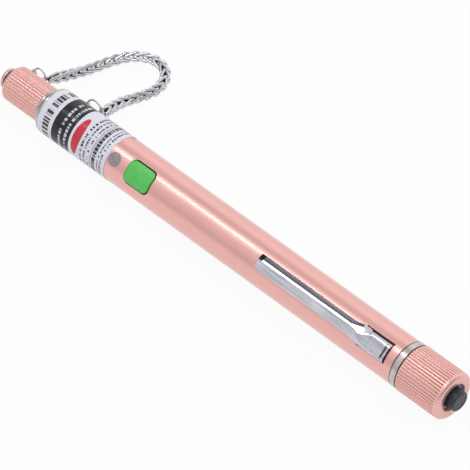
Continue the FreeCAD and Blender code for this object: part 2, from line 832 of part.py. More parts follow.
def make_clip():
    """The clip is pressed from sheet: a roof-shaped arm that runs out into a raised tray in its window."""
    crown = number("barrel_radius")
    sheet_thickness = number("clip_sheet")
    arm, base = number("clip_width / 2"), number("clip_base_width / 2")
    ridge = number("clip_ridge")
    end = number(CLIP_END)
    tip = end - number("clip_length")
    bevel, step = number("clip_tip_bevel"), number("clip_step_length")
    step_start = end - number("clip_base_length")
    near, far = number("clip_lift_tip"), number("clip_lift_root")
    centre = number("clip_ridge_offset")
    ridge_line = (centre - 0.12, centre + 0.12)
    bevel_line = (centre - 0.5 * arm, centre + 0.35 * arm)
    edge_drop = crown - math.sqrt(crown**2 - arm**2)
    root = step_start - step
    low_tip = crown - edge_drop + near
    tray_top = crown + number("clip_base_rise")
    tray_half = base - number("clip_tray_margin")
    tray_line = (-tray_half - 0.5, tray_half)
    tray_nose = (-tray_half * 0.4, tray_half * 0.6)
    seat = number(BORE)
    sections = [
        clip_section(tip, arm - 0.2, bevel_line, low_tip, low_tip + 0.55, sheet_thickness * 0.5),
        clip_section(tip + bevel, arm, ridge_line, low_tip, crown + near + ridge, sheet_thickness),
        clip_section(root, arm, ridge_line, crown + far - 0.3, crown + far + ridge, sheet_thickness),
        clip_section(step_start, base, tray_nose, crown - 0.1, tray_top + 0.1, sheet_thickness),
    ]
    lofted = Part.makeLoft(sections, True, True)
    tray_sections = [
        clip_section(step_start, base, tray_nose, crown - 0.1, tray_top + 0.1, sheet_thickness),
        clip_section(step_start + step, base, tray_line, seat + 0.15, tray_top, sheet_thickness),
        clip_section(end - 0.5, base, tray_line, seat + 0.15, tray_top, sheet_thickness),
        clip_section(end, base - 0.15, tray_line, seat + 0.15, tray_top - 0.2, sheet_thickness),
    ]
    tray = Part.makeLoft(tray_sections, True, True)
    end_wall_points = [
        FreeCAD.Vector(end - sheet_thickness, y, z)
        for y, z in (
            (-base + 0.15, seat + 0.15),
            (tray_line[0], tray_top - 0.2),
            (tray_line[1], tray_top - 0.2),
            (base - 0.15, seat + 0.15),
        )
    ]
    end_wall = Part.Face(Part.makePolygon(end_wall_points + end_wall_points[:1])).extrude(
        FreeCAD.Vector(sheet_thickness, 0, 0)
    )
    clip = kept(document.addObject("Part::Feature", "pocket_clip"), "pocket_clip")
    clip.Shape = lofted.fuse([tray, end_wall]).removeSplitter()
    turn_about_x(clip, "clip_angle")


# ---------------------------------------------------------------- Label


def make_label():
    start = f"({NOSE_BACK} + label_start)"
    length = f"({WINDOW_PLACE} - window_radius - label_to_window - {start})"
    outer = primitive(
        "Cylinder",
        "label_outer",
        (start, "0", "0"),
        Radius="barrel_radius + seat_gap / 2 + label_thickness",
        Height=length,
        Angle="360 - label_gap_angle",
    )
    inner = primitive(
        "Cylinder",
        "label_inner",
        (f"{start} - 1", "0", "0"),
        ALONG_X,
        Radius="barrel_radius + seat_gap / 2",
        Height=f"{length} + 2",
    )
    # The label's edges meet at the back, where the lanyard eye stands between them.
    upright = FreeCAD.Rotation(FreeCAD.Vector(0, 0, 1), FreeCAD.Vector(1, 0, 0))
    spin = FreeCAD.Rotation(FreeCAD.Vector(1, 0, 0), 90 + number("label_gap_angle / 2"))
    outer.Placement.Rotation = spin.multiply(upright)
    kept(joined("Cut", "wrap_label", [outer, inner]), "wrap_label")


# ---------------------------------------------------------------- Tail


def make_tail():
    turned(
        "tail_coupling",
        [
            (COUPLING_FRONT, COUPLING_BORE),
            (THREAD_BACK, COUPLING_BORE),
            (THREAD_BACK, f"{THREAD_RADIUS} - barrel_bevel"),
            (f"{THREAD_BACK} - barrel_bevel", THREAD_RADIUS),
            (RING_BACK, THREAD_RADIUS),
            (RING_BACK, f"{TAIL_RING_RADIUS} - barrel_bevel"),
            (f"{RING_BACK} - barrel_bevel", TAIL_RING_RADIUS),
            (f"{BARREL_BACK} + barrel_bevel", TAIL_RING_RADIUS),
            (BARREL_BACK, f"{TAIL_RING_RADIUS} - barrel_bevel"),
            (BARREL_BACK, SPIGOT_RADIUS),
            (COUPLING_FRONT, SPIGOT_RADIUS),
        ],
    )
    start = f"({RING_BACK} + face_gap)"
    wall = f"({CAP_BACK} - tail_cap_end_wall)"
    cap = turned(
        "tail_cap",
        [
            (start, f"{THREAD_RADIUS} + running_gap"),
            (f"{THREAD_BACK} + face_gap", f"{THREAD_RADIUS} + running_gap"),
            (f"{THREAD_BACK} + face_gap", TAIL_BORE),
            (wall, TAIL_BORE),
            (wall, "tail_hole_radius"),
            (f"{CAP_BACK} - barrel_bevel", "tail_hole_radius"),
            (CAP_BACK, "tail_hole_radius + barrel_bevel"),
            (CAP_BACK, f"{TAIL_CAP_RADIUS} - tail_cap_rounding", "tail_cap_rounding"),
            (f"{CAP_BACK} - tail_cap_rounding", TAIL_CAP_RADIUS),
            (f"{start} + barrel_bevel", TAIL_CAP_RADIUS),
            (start, f"{TAIL_CAP_RADIUS} - barrel_bevel"),
        ],
    )
    fluted(
        cap,
        f"({start} - face_gap)",
        f"{CAP_BACK} - tail_plain_end - {start}",
        TAIL_CAP_RADIUS,
        "tail_flute_width",
        "tail_flute_depth",
        "tail_flutes",
    )
    slip = f"({TAIL_BORE} - seat_gap)"
    turned(
        "switch_retainer",
        [
            (f"{THREAD_BACK} + 2 * face_gap", f"{SWITCH_FRONT_RADIUS} + running_gap"),
            (f"{SWITCH_SHOULDER} - seat_gap", f"{SWITCH_FRONT_RADIUS} + running_gap"),
            (f"{SWITCH_SHOULDER} - seat_gap", slip),
            (f"{THREAD_BACK} + 2 * face_gap", slip),
        ],
    )
    well = f"({BUTTON_FLANGE_FRONT} - tail_button_travel - face_gap)"
    turned(
        "switch_body",
        [
            (SWITCH_FRONT, "0"),
            (well, "0"),
            (well, "tail_button_flange_radius + running_gap"),
            (f"{COLLAR_FRONT} - seat_gap", "tail_button_flange_radius + running_gap"),
            (f"{COLLAR_FRONT} - seat_gap", slip),
            (SWITCH_SHOULDER, slip),
            (SWITCH_SHOULDER, SWITCH_FRONT_RADIUS),
            (SWITCH_FRONT, SWITCH_FRONT_RADIUS),
        ],
    )
    turned(
        "switch_collar",
        [
            (COLLAR_FRONT, "tail_button_radius + running_gap"),
            (COLLAR_BACK, "tail_button_radius + running_gap"),
            (COLLAR_BACK, slip),
            (COLLAR_FRONT, slip),
        ],
    )
    end = f"({CAP_BACK} + tail_button_stand)"
    turned(
        "tail_button",
        [
            (BUTTON_FLANGE_FRONT, "0"),
            (end, "0"),
            (end, "tail_button_end_radius - tail_button_edge", "tail_button_edge"),
            (f"{end} - tail_button_edge", "tail_button_end_radius"),
            (CAP_BACK, "tail_button_radius"),
            (BUTTON_FLANGE_BACK, "tail_button_radius"),
            (BUTTON_FLANGE_BACK, "tail_button_flange_radius"),
            (BUTTON_FLANGE_FRONT, "tail_button_flange_radius"),
        ],
    )


def make_tail_spring():
    """A conical coil between the rear battery and the switch."""
    wire = number("tail_spring_wire")
    start = number(CELLS_BACK) + wire + number("seat_gap")
    end = number(SWITCH_FRONT) - wire - number("seat_gap")
    wide, narrow = number("tail_spring_base_radius"), number("tail_spring_top_radius")
    turns = number("tail_spring_turns")
    per_turn = 14
    count = round(turns * per_turn)
    points = []
    for i in range(count + 1):
        share = i / count
        around = 2 * math.pi * turns * share
        radius = narrow + (wide - narrow) * share
        along = start + (end - start) * share
        points.append(FreeCAD.Vector(along, radius * math.cos(around), radius * math.sin(around)))
    spring = kept(document.addObject("Part::Feature", "tail_spring"), "tail_spring")
    spring.Shape = faceted_wire(points, wire, 5, closed=False)


# ---------------------------------------------------------------- Dust cap


def make_dust_cap():
    end = "(neck_length - face_gap)"
    floor = "(-cap_floor_gap)"
    hole = "(plug_stem_radius + seat_gap)"
    front = "(-dust_cap_front)"
    cap = turned(
        "dust_cap",
        [
            (front, hole),
            (floor, hole),
            (floor, "neck_radius + running_gap"),
            (end, "neck_radius + running_gap"),
            (end, "dust_cap_radius - barrel_bevel"),
            (f"{end} - barrel_bevel", "dust_cap_radius"),
            (f"{front} + dust_cap_rounding", "dust_cap_radius", "dust_cap_rounding"),
            (front, "dust_cap_radius - dust_cap_rounding"),
        ],
    )
    fluted(
        cap,
        f"({front} + dust_plain_end)",
        f"{end} - {front}",
        "dust_cap_radius",
        "dust_flute_width",
        "dust_flute_depth",
        "dust_cap_flutes",
    )
    eye = sketch_in(cap, "XZ_Plane", along="-dust_cap_radius + stem_depth + seat_gap")
    circle(eye, "cap_eye_place", "0", "stem_radius + seat_gap")
    swept_block(cap, eye, "dust_cap_radius", "PartDesign::Pocket")
    seal_front = f"({front} - seal_thickness)"
    turned(
        "cap_seal",
        [
            (seal_front, hole),
            (front, hole),
            (front, "seal_radius"),
            (seal_front, "seal_radius"),
        ],
    )
    plug_front = f"({seal_front} - plug_thickness)"
    stem_end = f"({front} + plug_stem_length)"
    turned(
        "cap_plug",
        [
            (plug_front, "0"),
            (stem_end, "0"),
            (stem_end, "plug_stem_radius"),
            (seal_front, "plug_stem_radius"),
            (seal_front, "plug_radius"),
            (f"{plug_front} + plug_edge", "plug_radius"),
            (plug_front, "plug_radius - plug_edge"),
        ],
    )


# ---------------------------------------------------------------- Lanyard


def make_eye(label, x, radius):
    """A turned stem in the wall with a flat eye outside it, on the +Y side."""
    stem = primitive(
        "Cylinder",
        f"{label}_stem",
        (x, f"{radius} - stem_depth", "0"),
        ALONG_Y,
        Radius="stem_radius",
        Height="stem_depth + eye_stand - eye_radius",
    )
    plate = primitive(
        "Cylinder",
        f"{label}_plate",
        (x, f"{radius} + eye_stand", "-eye_thickness / 2"),
        Radius="eye_radius + eye_rim",
        Height="eye_thickness",
    )
    drill = primitive(
        "Cylinder",
        f"{label}_drill",
        (x, f"{radius} + eye_stand", "-eye_thickness"),
        Radius="eye_radius",
        Height="2 * eye_thickness",
    )
    kept(joined("Cut", label, [joined("Fuse", f"{label}_blank", [stem, plate]), drill]), label)


def make_jump_ring(label, x, radius, ring_radius):
    """A round wire ring through an eye, leaning out from the pen."""
    ring = primitive(
        "Torus",
        label,
        (f"{x} + {ring_radius}", f"{radius} + eye_stand", "0"),
        Radius1=ring_radius,
        Radius2="ring_wire_radius",
    )
    ring.Placement.Rotation = FreeCAD.Rotation(FreeCAD.Vector(1, 0, 0), 1)
    bind(ring, Placement__Rotation__Angle="90 - ring_lean")
    kept(ring, label)


def link_solid():
    """One link: a waisted loop of wire folded until its two ends lean over its middle."""
    half_width, rise = number("link_half_width"), number("link_rise")
    fold = math.radians(number("link_fold"))
    waist, loop = number("link_waist"), number("link_loop")
    quarter = []
    for share in (0.0, 0.22, 0.42, 0.6, 0.76, 0.9, 1.0):
        angle = fold * share
        spread = min(max((share - 0.34) / 0.42, 0), 1)
        width = waist + (loop - waist) * spread * spread * (3 - 2 * spread)
        closing = max((share - 0.86) / 0.14, 0)
        width *= math.sqrt(max(1 - closing**2, 0))
        quarter.append(FreeCAD.Vector(half_width * math.sin(angle), width, rise * (1 - math.cos(angle))))
    one = quarter
    two = [FreeCAD.Vector(p.x, -p.y, p.z) for p in reversed(quarter[:-1])]
    three = [FreeCAD.Vector(-p.x, -p.y, p.z) for p in quarter[1:]]
    four = [FreeCAD.Vector(-p.x, p.y, p.z) for p in reversed(quarter[1:-1])]
    return faceted_wire(one + two + three + four, number("chain_wire_radius"), 6, closed=True)


def ring_solid(centre, first, second):
    """A small closed ring of the lanyard's ring wire in the plane of two directions."""
    radius = number("end_ring_radius")
    count = 14
    points = [
        centre
        + first * (radius * math.cos(2 * math.pi * i / count))
        + second * (radius * math.sin(2 * math.pi * i / count))
        for i in range(count)
    ]
    return faceted_wire(points, number("ring_wire_radius"), 6, closed=True)


# Where the chain's loop goes, in shares of its reach: along the pen, away from it, above the floor.
CHAIN_ROUTE = (
    (0.048, 0.397, 0.058),
    (0.079, 0.582, 0.007),
    (0.127, 0.757, 0.0),
    (0.201, 0.899, 0.0),
    (0.296, 0.976, 0.0),
    (0.402, 1.0, 0.0),
    (0.505, 0.963, 0.0),
    (0.574, 0.873, 0.0),
    (0.59, 0.762, 0.0),
    (0.556, 0.646, 0.003),
    (0.524, 0.497, 0.032),
)


def make_chain():
    """Links threaded through each other along a loop that lies behind the pen."""
    rest = number(f"-{TAIL_CAP_RADIUS} + chain_floor_gap + chain_wire_radius + link_half_width")
    reach = number("chain_reach")
    cap_side = FreeCAD.Vector(
        number("cap_eye_place + 2 * cap_ring_radius"), number("dust_cap_radius + eye_stand"), 0
    )
    barrel_side = FreeCAD.Vector(
        number("barrel_eye_place + 2 * barrel_ring_radius"), number("barrel_radius + eye_stand"), 0
    )
    ring_reach = number("end_ring_radius - ring_wire_radius")
    leave = FreeCAD.Vector(0.05, 1, -0.3).normalize()
    arrive = FreeCAD.Vector(-0.4, 1, -0.35).normalize()
    start = cap_side + leave * (ring_reach * 1.15)
    finish = barrel_side + arrive * (ring_reach * 1.05)
    route = [
        start,
        *(FreeCAD.Vector(x * reach, y * reach, rest + z * reach) for x, y, z in CHAIN_ROUTE),
        finish,
    ]
    curve = Part.BSplineCurve()
    curve.interpolate(route)
    path = curve.toShape()
    link_length = number("link_rise") * (1 - math.cos(math.radians(number("link_fold"))))
    count = round((path.Length - link_length) / number("chain_pitch")) + 1
    spacing = (path.Length - link_length) / (count - 1)
    link = link_solid()
    shapes = []
    for i in range(count):
        along = i * spacing
        here = path.valueAt(path.getParameterByLength(along))
        ahead = path.valueAt(path.getParameterByLength(min(along + link_length, path.Length)))
        forward = (ahead - here).normalize()
        level = FreeCAD.Vector(0, 0, 1).cross(forward).normalize()
        upright = forward.cross(level)
        twist = math.radians(90 * min(i / number("chain_twist_links"), 1))
        across = upright * math.cos(twist) + level * math.sin(twist)
        other = forward.cross(across)
        placed = link.copy()
        placed.Placement = FreeCAD.Placement(
            FreeCAD.Matrix(
                across.x, other.x, forward.x, here.x,
                across.y, other.y, forward.y, here.y,
                across.z, other.z, forward.z, here.z,
                0, 0, 0, 1,
            )
        )
        shapes.append(placed)
        if i == 0:
            shapes.append(ring_solid(cap_side + leave * (ring_reach * 0.6), forward, other))
        if i == count - 1:
            shapes.append(ring_solid(barrel_side + arrive * (ring_reach * 0.6), forward, across))
    chain = kept(document.addObject("Part::Feature", "lanyard_chain"), "lanyard_chain")
    chain.Shape = Part.makeCompound(shapes)
    print("chain: %d links, %.1f mm, spacing %.2f mm" % (count, path.Length, spacing))


make_barrel()
make_nose()
make_laser()
make_board()
make_window()
make_mode_switch()
make_mode_button()
make_cells()
make_clip()
make_label()
make_tail()
make_tail_spring()
make_dust_cap()
make_eye("barrel_eye", "barrel_eye_place", "barrel_radius")
make_eye("cap_eye", "cap_eye_place", "dust_cap_radius")
make_jump_ring("barrel_ring", "barrel_eye_place", "barrel_radius", "barrel_ring_radius")
make_jump_ring("cap_ring", "cap_eye_place", "dust_cap_radius", "cap_ring_radius")
make_chain()

document.recompute()
failed = [thing.Label for thing in document.Objects if {"Invalid", "Error"} & set(thing.State)]
for piece in pieces:
    if piece.Shape.isNull() or not piece.Shape.isValid():
        failed.append(piece.Label)
if failed:
    raise RuntimeError("not built: " + ", ".join(failed))
os.makedirs("parts", exist_ok=True)
for piece in pieces:
    piece.Shape.exportStep(f"parts/{piece.Label}.step")
    print(f"{piece.Label}: {len(piece.Shape.Solids)} solid, {piece.Shape.Volume:.1f} mm3")
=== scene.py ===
# %% [markdown]
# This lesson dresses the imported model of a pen-shaped fault locator: a laser pen for tracing
# optical fibre. The model comes in as a fixed frame of named solids. Every piece that shows is
# then modelled again over its solid with finer edges, and the hidden solids get a material only.
# Sizes are written in millimetres and turned into metres by MM.

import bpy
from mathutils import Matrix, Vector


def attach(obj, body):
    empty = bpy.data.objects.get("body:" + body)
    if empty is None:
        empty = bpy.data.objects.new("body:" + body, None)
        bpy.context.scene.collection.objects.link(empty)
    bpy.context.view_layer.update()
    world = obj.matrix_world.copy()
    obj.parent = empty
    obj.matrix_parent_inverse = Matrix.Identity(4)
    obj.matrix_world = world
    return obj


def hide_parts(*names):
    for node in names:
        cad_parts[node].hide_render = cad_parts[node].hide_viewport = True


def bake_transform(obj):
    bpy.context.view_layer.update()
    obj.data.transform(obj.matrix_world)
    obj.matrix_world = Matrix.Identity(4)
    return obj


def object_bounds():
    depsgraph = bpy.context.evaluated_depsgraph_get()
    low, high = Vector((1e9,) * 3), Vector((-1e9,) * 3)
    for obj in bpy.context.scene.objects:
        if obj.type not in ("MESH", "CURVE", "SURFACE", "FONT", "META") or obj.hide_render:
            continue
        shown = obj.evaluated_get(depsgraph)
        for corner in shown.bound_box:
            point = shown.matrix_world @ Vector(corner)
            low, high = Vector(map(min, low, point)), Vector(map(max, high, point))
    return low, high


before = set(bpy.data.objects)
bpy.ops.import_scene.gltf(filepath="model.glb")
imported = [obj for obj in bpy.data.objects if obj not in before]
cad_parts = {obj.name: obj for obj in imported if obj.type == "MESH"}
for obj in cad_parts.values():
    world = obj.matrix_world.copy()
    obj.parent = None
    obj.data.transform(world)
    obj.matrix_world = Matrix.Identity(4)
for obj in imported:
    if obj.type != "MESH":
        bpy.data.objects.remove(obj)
CAD_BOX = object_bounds()

# %% Modules and units
import math
from functools import partial

import bmesh
import bpy
import numpy as np
from mathutils import Matrix, Vector

MM = 0.001
CONTROL_ANGLE = math.radians(43)
CLIP_ANGLE = math.radians(39)
BARREL_RADIUS = 7.0
DUST_CAP_RADIUS = 5.4
TAIL_CAP_RADIUS = 7.2
DUST_CAP_FLUTES, DUST_CAP_FLUTED = 36, (-4.05, 8.7)
TAIL_CAP_FLUTES, TAIL_CAP_FLUTED = 50, (149.25, 162.65)
COLUMNS_PER_FLUTE = 8
BUTTON_PLACE = 49.9
WINDOW_PLACE = 40.35
BARREL_EYE_PLACE, CAP_EYE_PLACE = 16.05, -3.9
EYE_STAND = 1.0
RING_WIRE = 0.28

# %% [markdown]
# The camera comes first, so that every later step can be looked at. A long lens a metre away keeps
# the barrel's sides almost parallel, as a product shot does. It looks down on the pen from the
# tail's side, with the pen running from upper left to lower right.

# %% Camera
def add_camera(azimuth, elevation, distance, lens, aim):
    a, e = math.radians(azimuth), math.radians(elevation)
    outwards = Vector((math.sin(a) * math.cos(e), -math.cos(a) * math.cos(e), math.sin(e)))
    camera_data = bpy.data.cameras.new("camera")
    camera_data.lens = lens
    camera_data.clip_start = 0.05
    camera = bpy.data.objects.new("camera", camera_data)
    bpy.context.scene.collection.objects.link(camera)
    camera.location = Vector(aim) + outwards * distance
    camera.rotation_euler = (-outwards).to_track_quat("-Z", "Y").to_euler()
    bpy.context.scene.camera = camera
    return camera


camera = add_camera(azimuth=44.3, elevation=47.4, distance=1.285, lens=360.0, aim=(0.089, 0.0, 0.0))
camera.data.shift_x = -0.0368085
camera.data.shift_y = 0.0382979
print("camera at", [round(v, 3) for v in camera.location])

# %% [markdown]
# A plain studio: a pale floor that the pen lies on, a long soft lamp overhead that draws one
# clean streak along the barrel, a wide soft lamp behind and a weaker one in front. Round metal
# shows its surroundings as bands along its length, so the world is a soft room whose brightness
# changes round the pen's axis and falls off towards the pen's two ends.

# %% Helpers for selection and for nodes
def clear_selection():
    """Leaves edit mode and deselects everything, because an operator acts on all that is selected."""
    if bpy.context.object and bpy.context.object.mode != "OBJECT":
        bpy.ops.object.mode_set(mode="OBJECT")
    bpy.ops.object.select_all(action="DESELECT")


def select_only(piece):
    clear_selection()
    bpy.context.view_layer.objects.active = piece
    piece.select_set(True)


def nodes_of(material):
    material.use_nodes = True
    tree = material.node_tree
    shader = next(n for n in tree.nodes if n.type == "BSDF_PRINCIPLED")
    return tree.nodes, tree.links, shader


def math_node(nodes, links, operation, *values):
    node = nodes.new("ShaderNodeMath")
    node.operation = operation
    for socket, value in zip(node.inputs, values):
        if isinstance(value, (int, float)):
            socket.default_value = value
        else:
            links.new(value, socket)
    return node.outputs[0]


def ramp_of(nodes, links, value, low, high, start, end):
    """Start up to low, end from high, and a smooth change between them."""
    change = nodes.new("ShaderNodeMapRange")
    change.interpolation_type = "SMOOTHSTEP"
    for socket, number in (("From Min", low), ("From Max", high), ("To Min", start), ("To Max", end)):
        change.inputs[socket].default_value = number
    links.new(value, change.inputs["Value"])
    return change.outputs["Result"]


# %% Floor
def seen_directly(nodes, links):
    """1 for a ray that comes from the camera, also through glass. The ray's kinds come with it."""
    path = nodes.new("ShaderNodeLightPath")
    direct = math_node(nodes, links, "MAXIMUM", path.outputs["Is Camera Ray"],
                       path.outputs["Is Transmission Ray"])
    return direct, path


def glow_share(nodes, links, seen, mirrored):
    """How much of the floor is its own glow: one share where it is seen, another in reflections."""
    direct, path = seen_directly(nodes, links)
    calc = partial(math_node, nodes, links)
    return calc("MAXIMUM", calc("MULTIPLY", direct, seen),
                calc("MULTIPLY", path.outputs["Is Glossy Ray"], mirrored))


def make_floor():
    low = CAD_BOX[0][2]
    clear_selection()
    bpy.ops.mesh.primitive_plane_add(size=6, location=(0, 0, low - 0.02 * MM))
    floor = bpy.context.object
    floor.name = "floor"
    bpy.ops.object.transform_apply(location=True)
    paper = bpy.data.materials.new("floor_paper")
    nodes, links, shader = nodes_of(paper)
    shader.inputs["Base Color"].default_value = (0.86, 0.86, 0.86, 1)
    shader.inputs["Roughness"].default_value = 0.9
    shader.inputs["Specular IOR Level"].default_value = 0.1
    glow = nodes.new("ShaderNodeEmission")
    glow.inputs["Color"].default_value = (1, 1, 1, 1)
    glow.inputs["Strength"].default_value = 1.0
    mix = nodes.new("ShaderNodeMixShader")
    links.new(glow_share(nodes, links, 0.93, 0.7), mix.inputs["Fac"])
    links.new(shader.outputs["BSDF"], mix.inputs[1])
    links.new(glow.outputs["Emission"], mix.inputs[2])
    out = next(n for n in nodes if n.type == "OUTPUT_MATERIAL")
    links.new(mix.outputs["Shader"], out.inputs["Surface"])
    floor.data.materials.append(paper)
    return low


FLOOR_HEIGHT = make_floor()
print("floor at z =", round(FLOOR_HEIGHT / MM, 2), "mm")

# %% Lamps
def add_lamp(name, round_axis, distance, length, width, power, mirrored=False):
    """A soft rectangle parallel to the pen, at an angle round it from straight up towards the front."""
    turn = math.radians(round_axis)
    outwards = Vector((0, -math.sin(turn), math.cos(turn)))
    light = bpy.data.lights.new(name, "AREA")
    light.shape = "RECTANGLE"
    light.size = length
    light.size_y = width
    light.energy = power
    lamp = bpy.data.objects.new(name, light)
    bpy.context.scene.collection.objects.link(lamp)
    lamp.visible_glossy = mirrored
    lamp.location = Vector((0.08, 0, 0)) + outwards * distance
    lamp.rotation_euler = (-outwards).to_track_quat("-Z", "Y").to_euler()


add_lamp("overhead_strip", 7.8, distance=0.9, length=1.6, width=0.07, power=2.6, mirrored=True)
add_lamp("back_softbox", -56, distance=1.2, length=1.8, width=0.7, power=5.0)
add_lamp("front_softbox", 48, distance=1.3, length=1.8, width=0.5, power=2.6)
print("lamps:", len(bpy.data.lights))

# %% World
# Degrees round the pen, from straight up towards the front, and the brightness there.
ROOM_BANDS = [
    (-110, 0.72), (-80, 0.71), (-60, 0.9), (-42, 0.92), (-30, 0.54), (-14, 0.44), (6, 0.76),
    (20, 0.73), (40, 0.73), (62, 0.6), (80, 0.49), (94, 0.64), (110, 0.78),
]
ROOM_LEVEL, TIP_LEVEL, TAIL_LEVEL = 1.25, 0.12, 0.3
DIFFUSE_LEVEL = 0.55


def open_side(nodes, links, along):
    """The lamps end beyond the pen's tip and tail, so the room is darker in those two directions."""
    towards_tip = ramp_of(nodes, links, along, -0.9, -0.72, TIP_LEVEL, ROOM_LEVEL)
    towards_tail = ramp_of(nodes, links, along, 0.35, 0.8, ROOM_LEVEL, TAIL_LEVEL)
    return math_node(nodes, links, "MINIMUM", towards_tip, towards_tail)


def band_ramp(nodes):
    """A colour ramp over one full turn that holds the room's bands."""
    bands = nodes.new("ShaderNodeValToRGB")
    ramp = bands.color_ramp
    ramp.interpolation = "B_SPLINE"
    while len(ramp.elements) > 1:
        ramp.elements.remove(ramp.elements[-1])
    for i, (degrees, level) in enumerate(ROOM_BANDS):
        position = (degrees + 180) / 360
        element = ramp.elements[0] if i == 0 else ramp.elements.new(position)
        element.position = position
        element.color = (level, level, level, 1)
    return bands


def make_world():
    """White where it is seen directly; in reflections, the bands; for soft light, one even level."""
    world = bpy.data.worlds.new("studio")
    bpy.context.scene.world = world
    world.use_nodes = True
    nodes, links = world.node_tree.nodes, world.node_tree.links
    nodes.clear()
    place = nodes.new("ShaderNodeTexCoord")
    split = nodes.new("ShaderNodeSeparateXYZ")
    links.new(place.outputs["Generated"], split.inputs[0])
    front = math_node(nodes, links, "MULTIPLY", split.outputs["Y"], -1.0)
    turned_by = math_node(nodes, links, "ARCTAN2", front, split.outputs["Z"])
    scaled = nodes.new("ShaderNodeMapRange")
    scaled.inputs["From Min"].default_value = -math.pi
    scaled.inputs["From Max"].default_value = math.pi
    links.new(turned_by, scaled.inputs["Value"])
    bands = band_ramp(nodes)
    links.new(scaled.outputs["Result"], bands.inputs["Fac"])

    even, mirror, white = (nodes.new("ShaderNodeBackground") for _ in range(3))
    for background in (even, white):
        background.inputs["Color"].default_value = (1, 1, 1, 1)
    even.inputs["Strength"].default_value = DIFFUSE_LEVEL
    links.new(bands.outputs["Color"], mirror.inputs["Color"])
    links.new(open_side(nodes, links, split.outputs["X"]), mirror.inputs["Strength"])

    direct, path = seen_directly(nodes, links)
    surface = even.outputs[0]
    for share, over in ((path.outputs["Is Glossy Ray"], mirror), (direct, white)):
        mix = nodes.new("ShaderNodeMixShader")
        links.new(share, mix.inputs["Fac"])
        links.new(surface, mix.inputs[1])
        links.new(over.outputs[0], mix.inputs[2])
        surface = mix.outputs[0]
    out = nodes.new("ShaderNodeOutputWorld")
    links.new(surface, out.inputs["Surface"])


make_world()
bpy.context.scene.view_settings.view_transform = "Standard"
print("room bands:", len(ROOM_BANDS))

# %% [markdown]
# Finishes are node materials on Object coordinates, so they stay fixed to each piece. One helper
# builds the common part: a colour that varies softly, a roughness that varies with it, and a fine
# bump. What differs from piece to piece is passed in.

# %% The common finish
def finish(name, colour, second=None, roughness=(0.3, 0.4), metallic=0.0, scale=400.0, stretch=(1, 1, 1),
           bump=0.1, bump_depth=0.00002, detail=4.0, **sockets):
    """A procedural material whose noise is scale features to the metre, drawn out by stretch."""
    material = bpy.data.materials.new(name)
    nodes, links, shader = nodes_of(material)
    place = nodes.new("ShaderNodeTexCoord")
    mapping = nodes.new("ShaderNodeMapping")
    mapping.inputs["Scale"].default_value = stretch
    links.new(place.outputs["Object"], mapping.inputs["Vector"])
    noise = nodes.new("ShaderNodeTexNoise")
    noise.inputs["Scale"].default_value = scale
    noise.inputs["Detail"].default_value = detail
    links.new(mapping.outputs["Vector"], noise.inputs["Vector"])
    ramp = nodes.new("ShaderNodeValToRGB")
    ramp.color_ramp.elements[0].position = 0.3
    ramp.color_ramp.elements[1].position = 0.7
    ramp.color_ramp.elements[0].color = (*colour, 1)
    ramp.color_ramp.elements[1].color = (*(second or [c * 0.9 for c in colour]), 1)
    links.new(noise.outputs["Fac"], ramp.inputs["Fac"])
    links.new(ramp.outputs["Color"], shader.inputs["Base Color"])
    rough = nodes.new("ShaderNodeMapRange")
    rough.inputs["To Min"].default_value = roughness[0]
    rough.inputs["To Max"].default_value = roughness[1]
    links.new(noise.outputs["Fac"], rough.inputs["Value"])
    links.new(rough.outputs["Result"], shader.inputs["Roughness"])
    relief = nodes.new("ShaderNodeBump")
    relief.inputs["Strength"].default_value = bump
    relief.inputs["Distance"].default_value = bump_depth
    links.new(noise.outputs["Fac"], relief.inputs["Height"])
    links.new(relief.outputs["Normal"], shader.inputs["Normal"])
    shader.inputs["Metallic"].default_value = metallic
    for socket, value in sockets.items():
        shader.inputs[socket.replace("_", " ")].default_value = value
    return material


# %% Finishes that change with the place
def places_of(nodes, links, swung=0.0):
    """The place on the piece in millimetres, as it lay before it was swung round the barrel."""
    coordinates = next(n for n in nodes if n.type == "TEX_COORD")
    turn = nodes.new("ShaderNodeMapping")
    turn.inputs["Rotation"].default_value = (-swung, 0, 0)
    turn.inputs["Scale"].default_value = (1000, 1000, 1000)
    links.new(coordinates.outputs["Object"], turn.inputs["Vector"])
    split = nodes.new("ShaderNodeSeparateXYZ")
    links.new(turn.outputs["Vector"], split.inputs[0])
    return [split.outputs[axis] for axis in "XYZ"]


def painted(nodes, links, base, share, colour):
    """The base colour with a share of another over it."""
    mix = nodes.new("ShaderNodeMix")
    mix.data_type = "RGBA"
    links.new(share, mix.inputs["Factor"])
    links.new(base, mix.inputs["A"])
    mix.inputs["B"].default_value = (*colour, 1)
    return mix.outputs["Result"]


def darken(nodes, links, shader, share, colour):
    """Mixes the base colour towards another by a share worked out from the place."""
    socket = shader.inputs["Base Color"]
    links.new(painted(nodes, links, socket.links[0].from_socket, share, colour), socket)


# %% Metals
rose_metal = finish("rose_metal", (0.87, 0.47, 0.435), (0.85, 0.45, 0.415), (0.3, 0.34), 0.92, 5200.0,
                    bump=0.02, bump_depth=0.00001, Coat_Weight=0.5, Coat_Roughness=0.12)


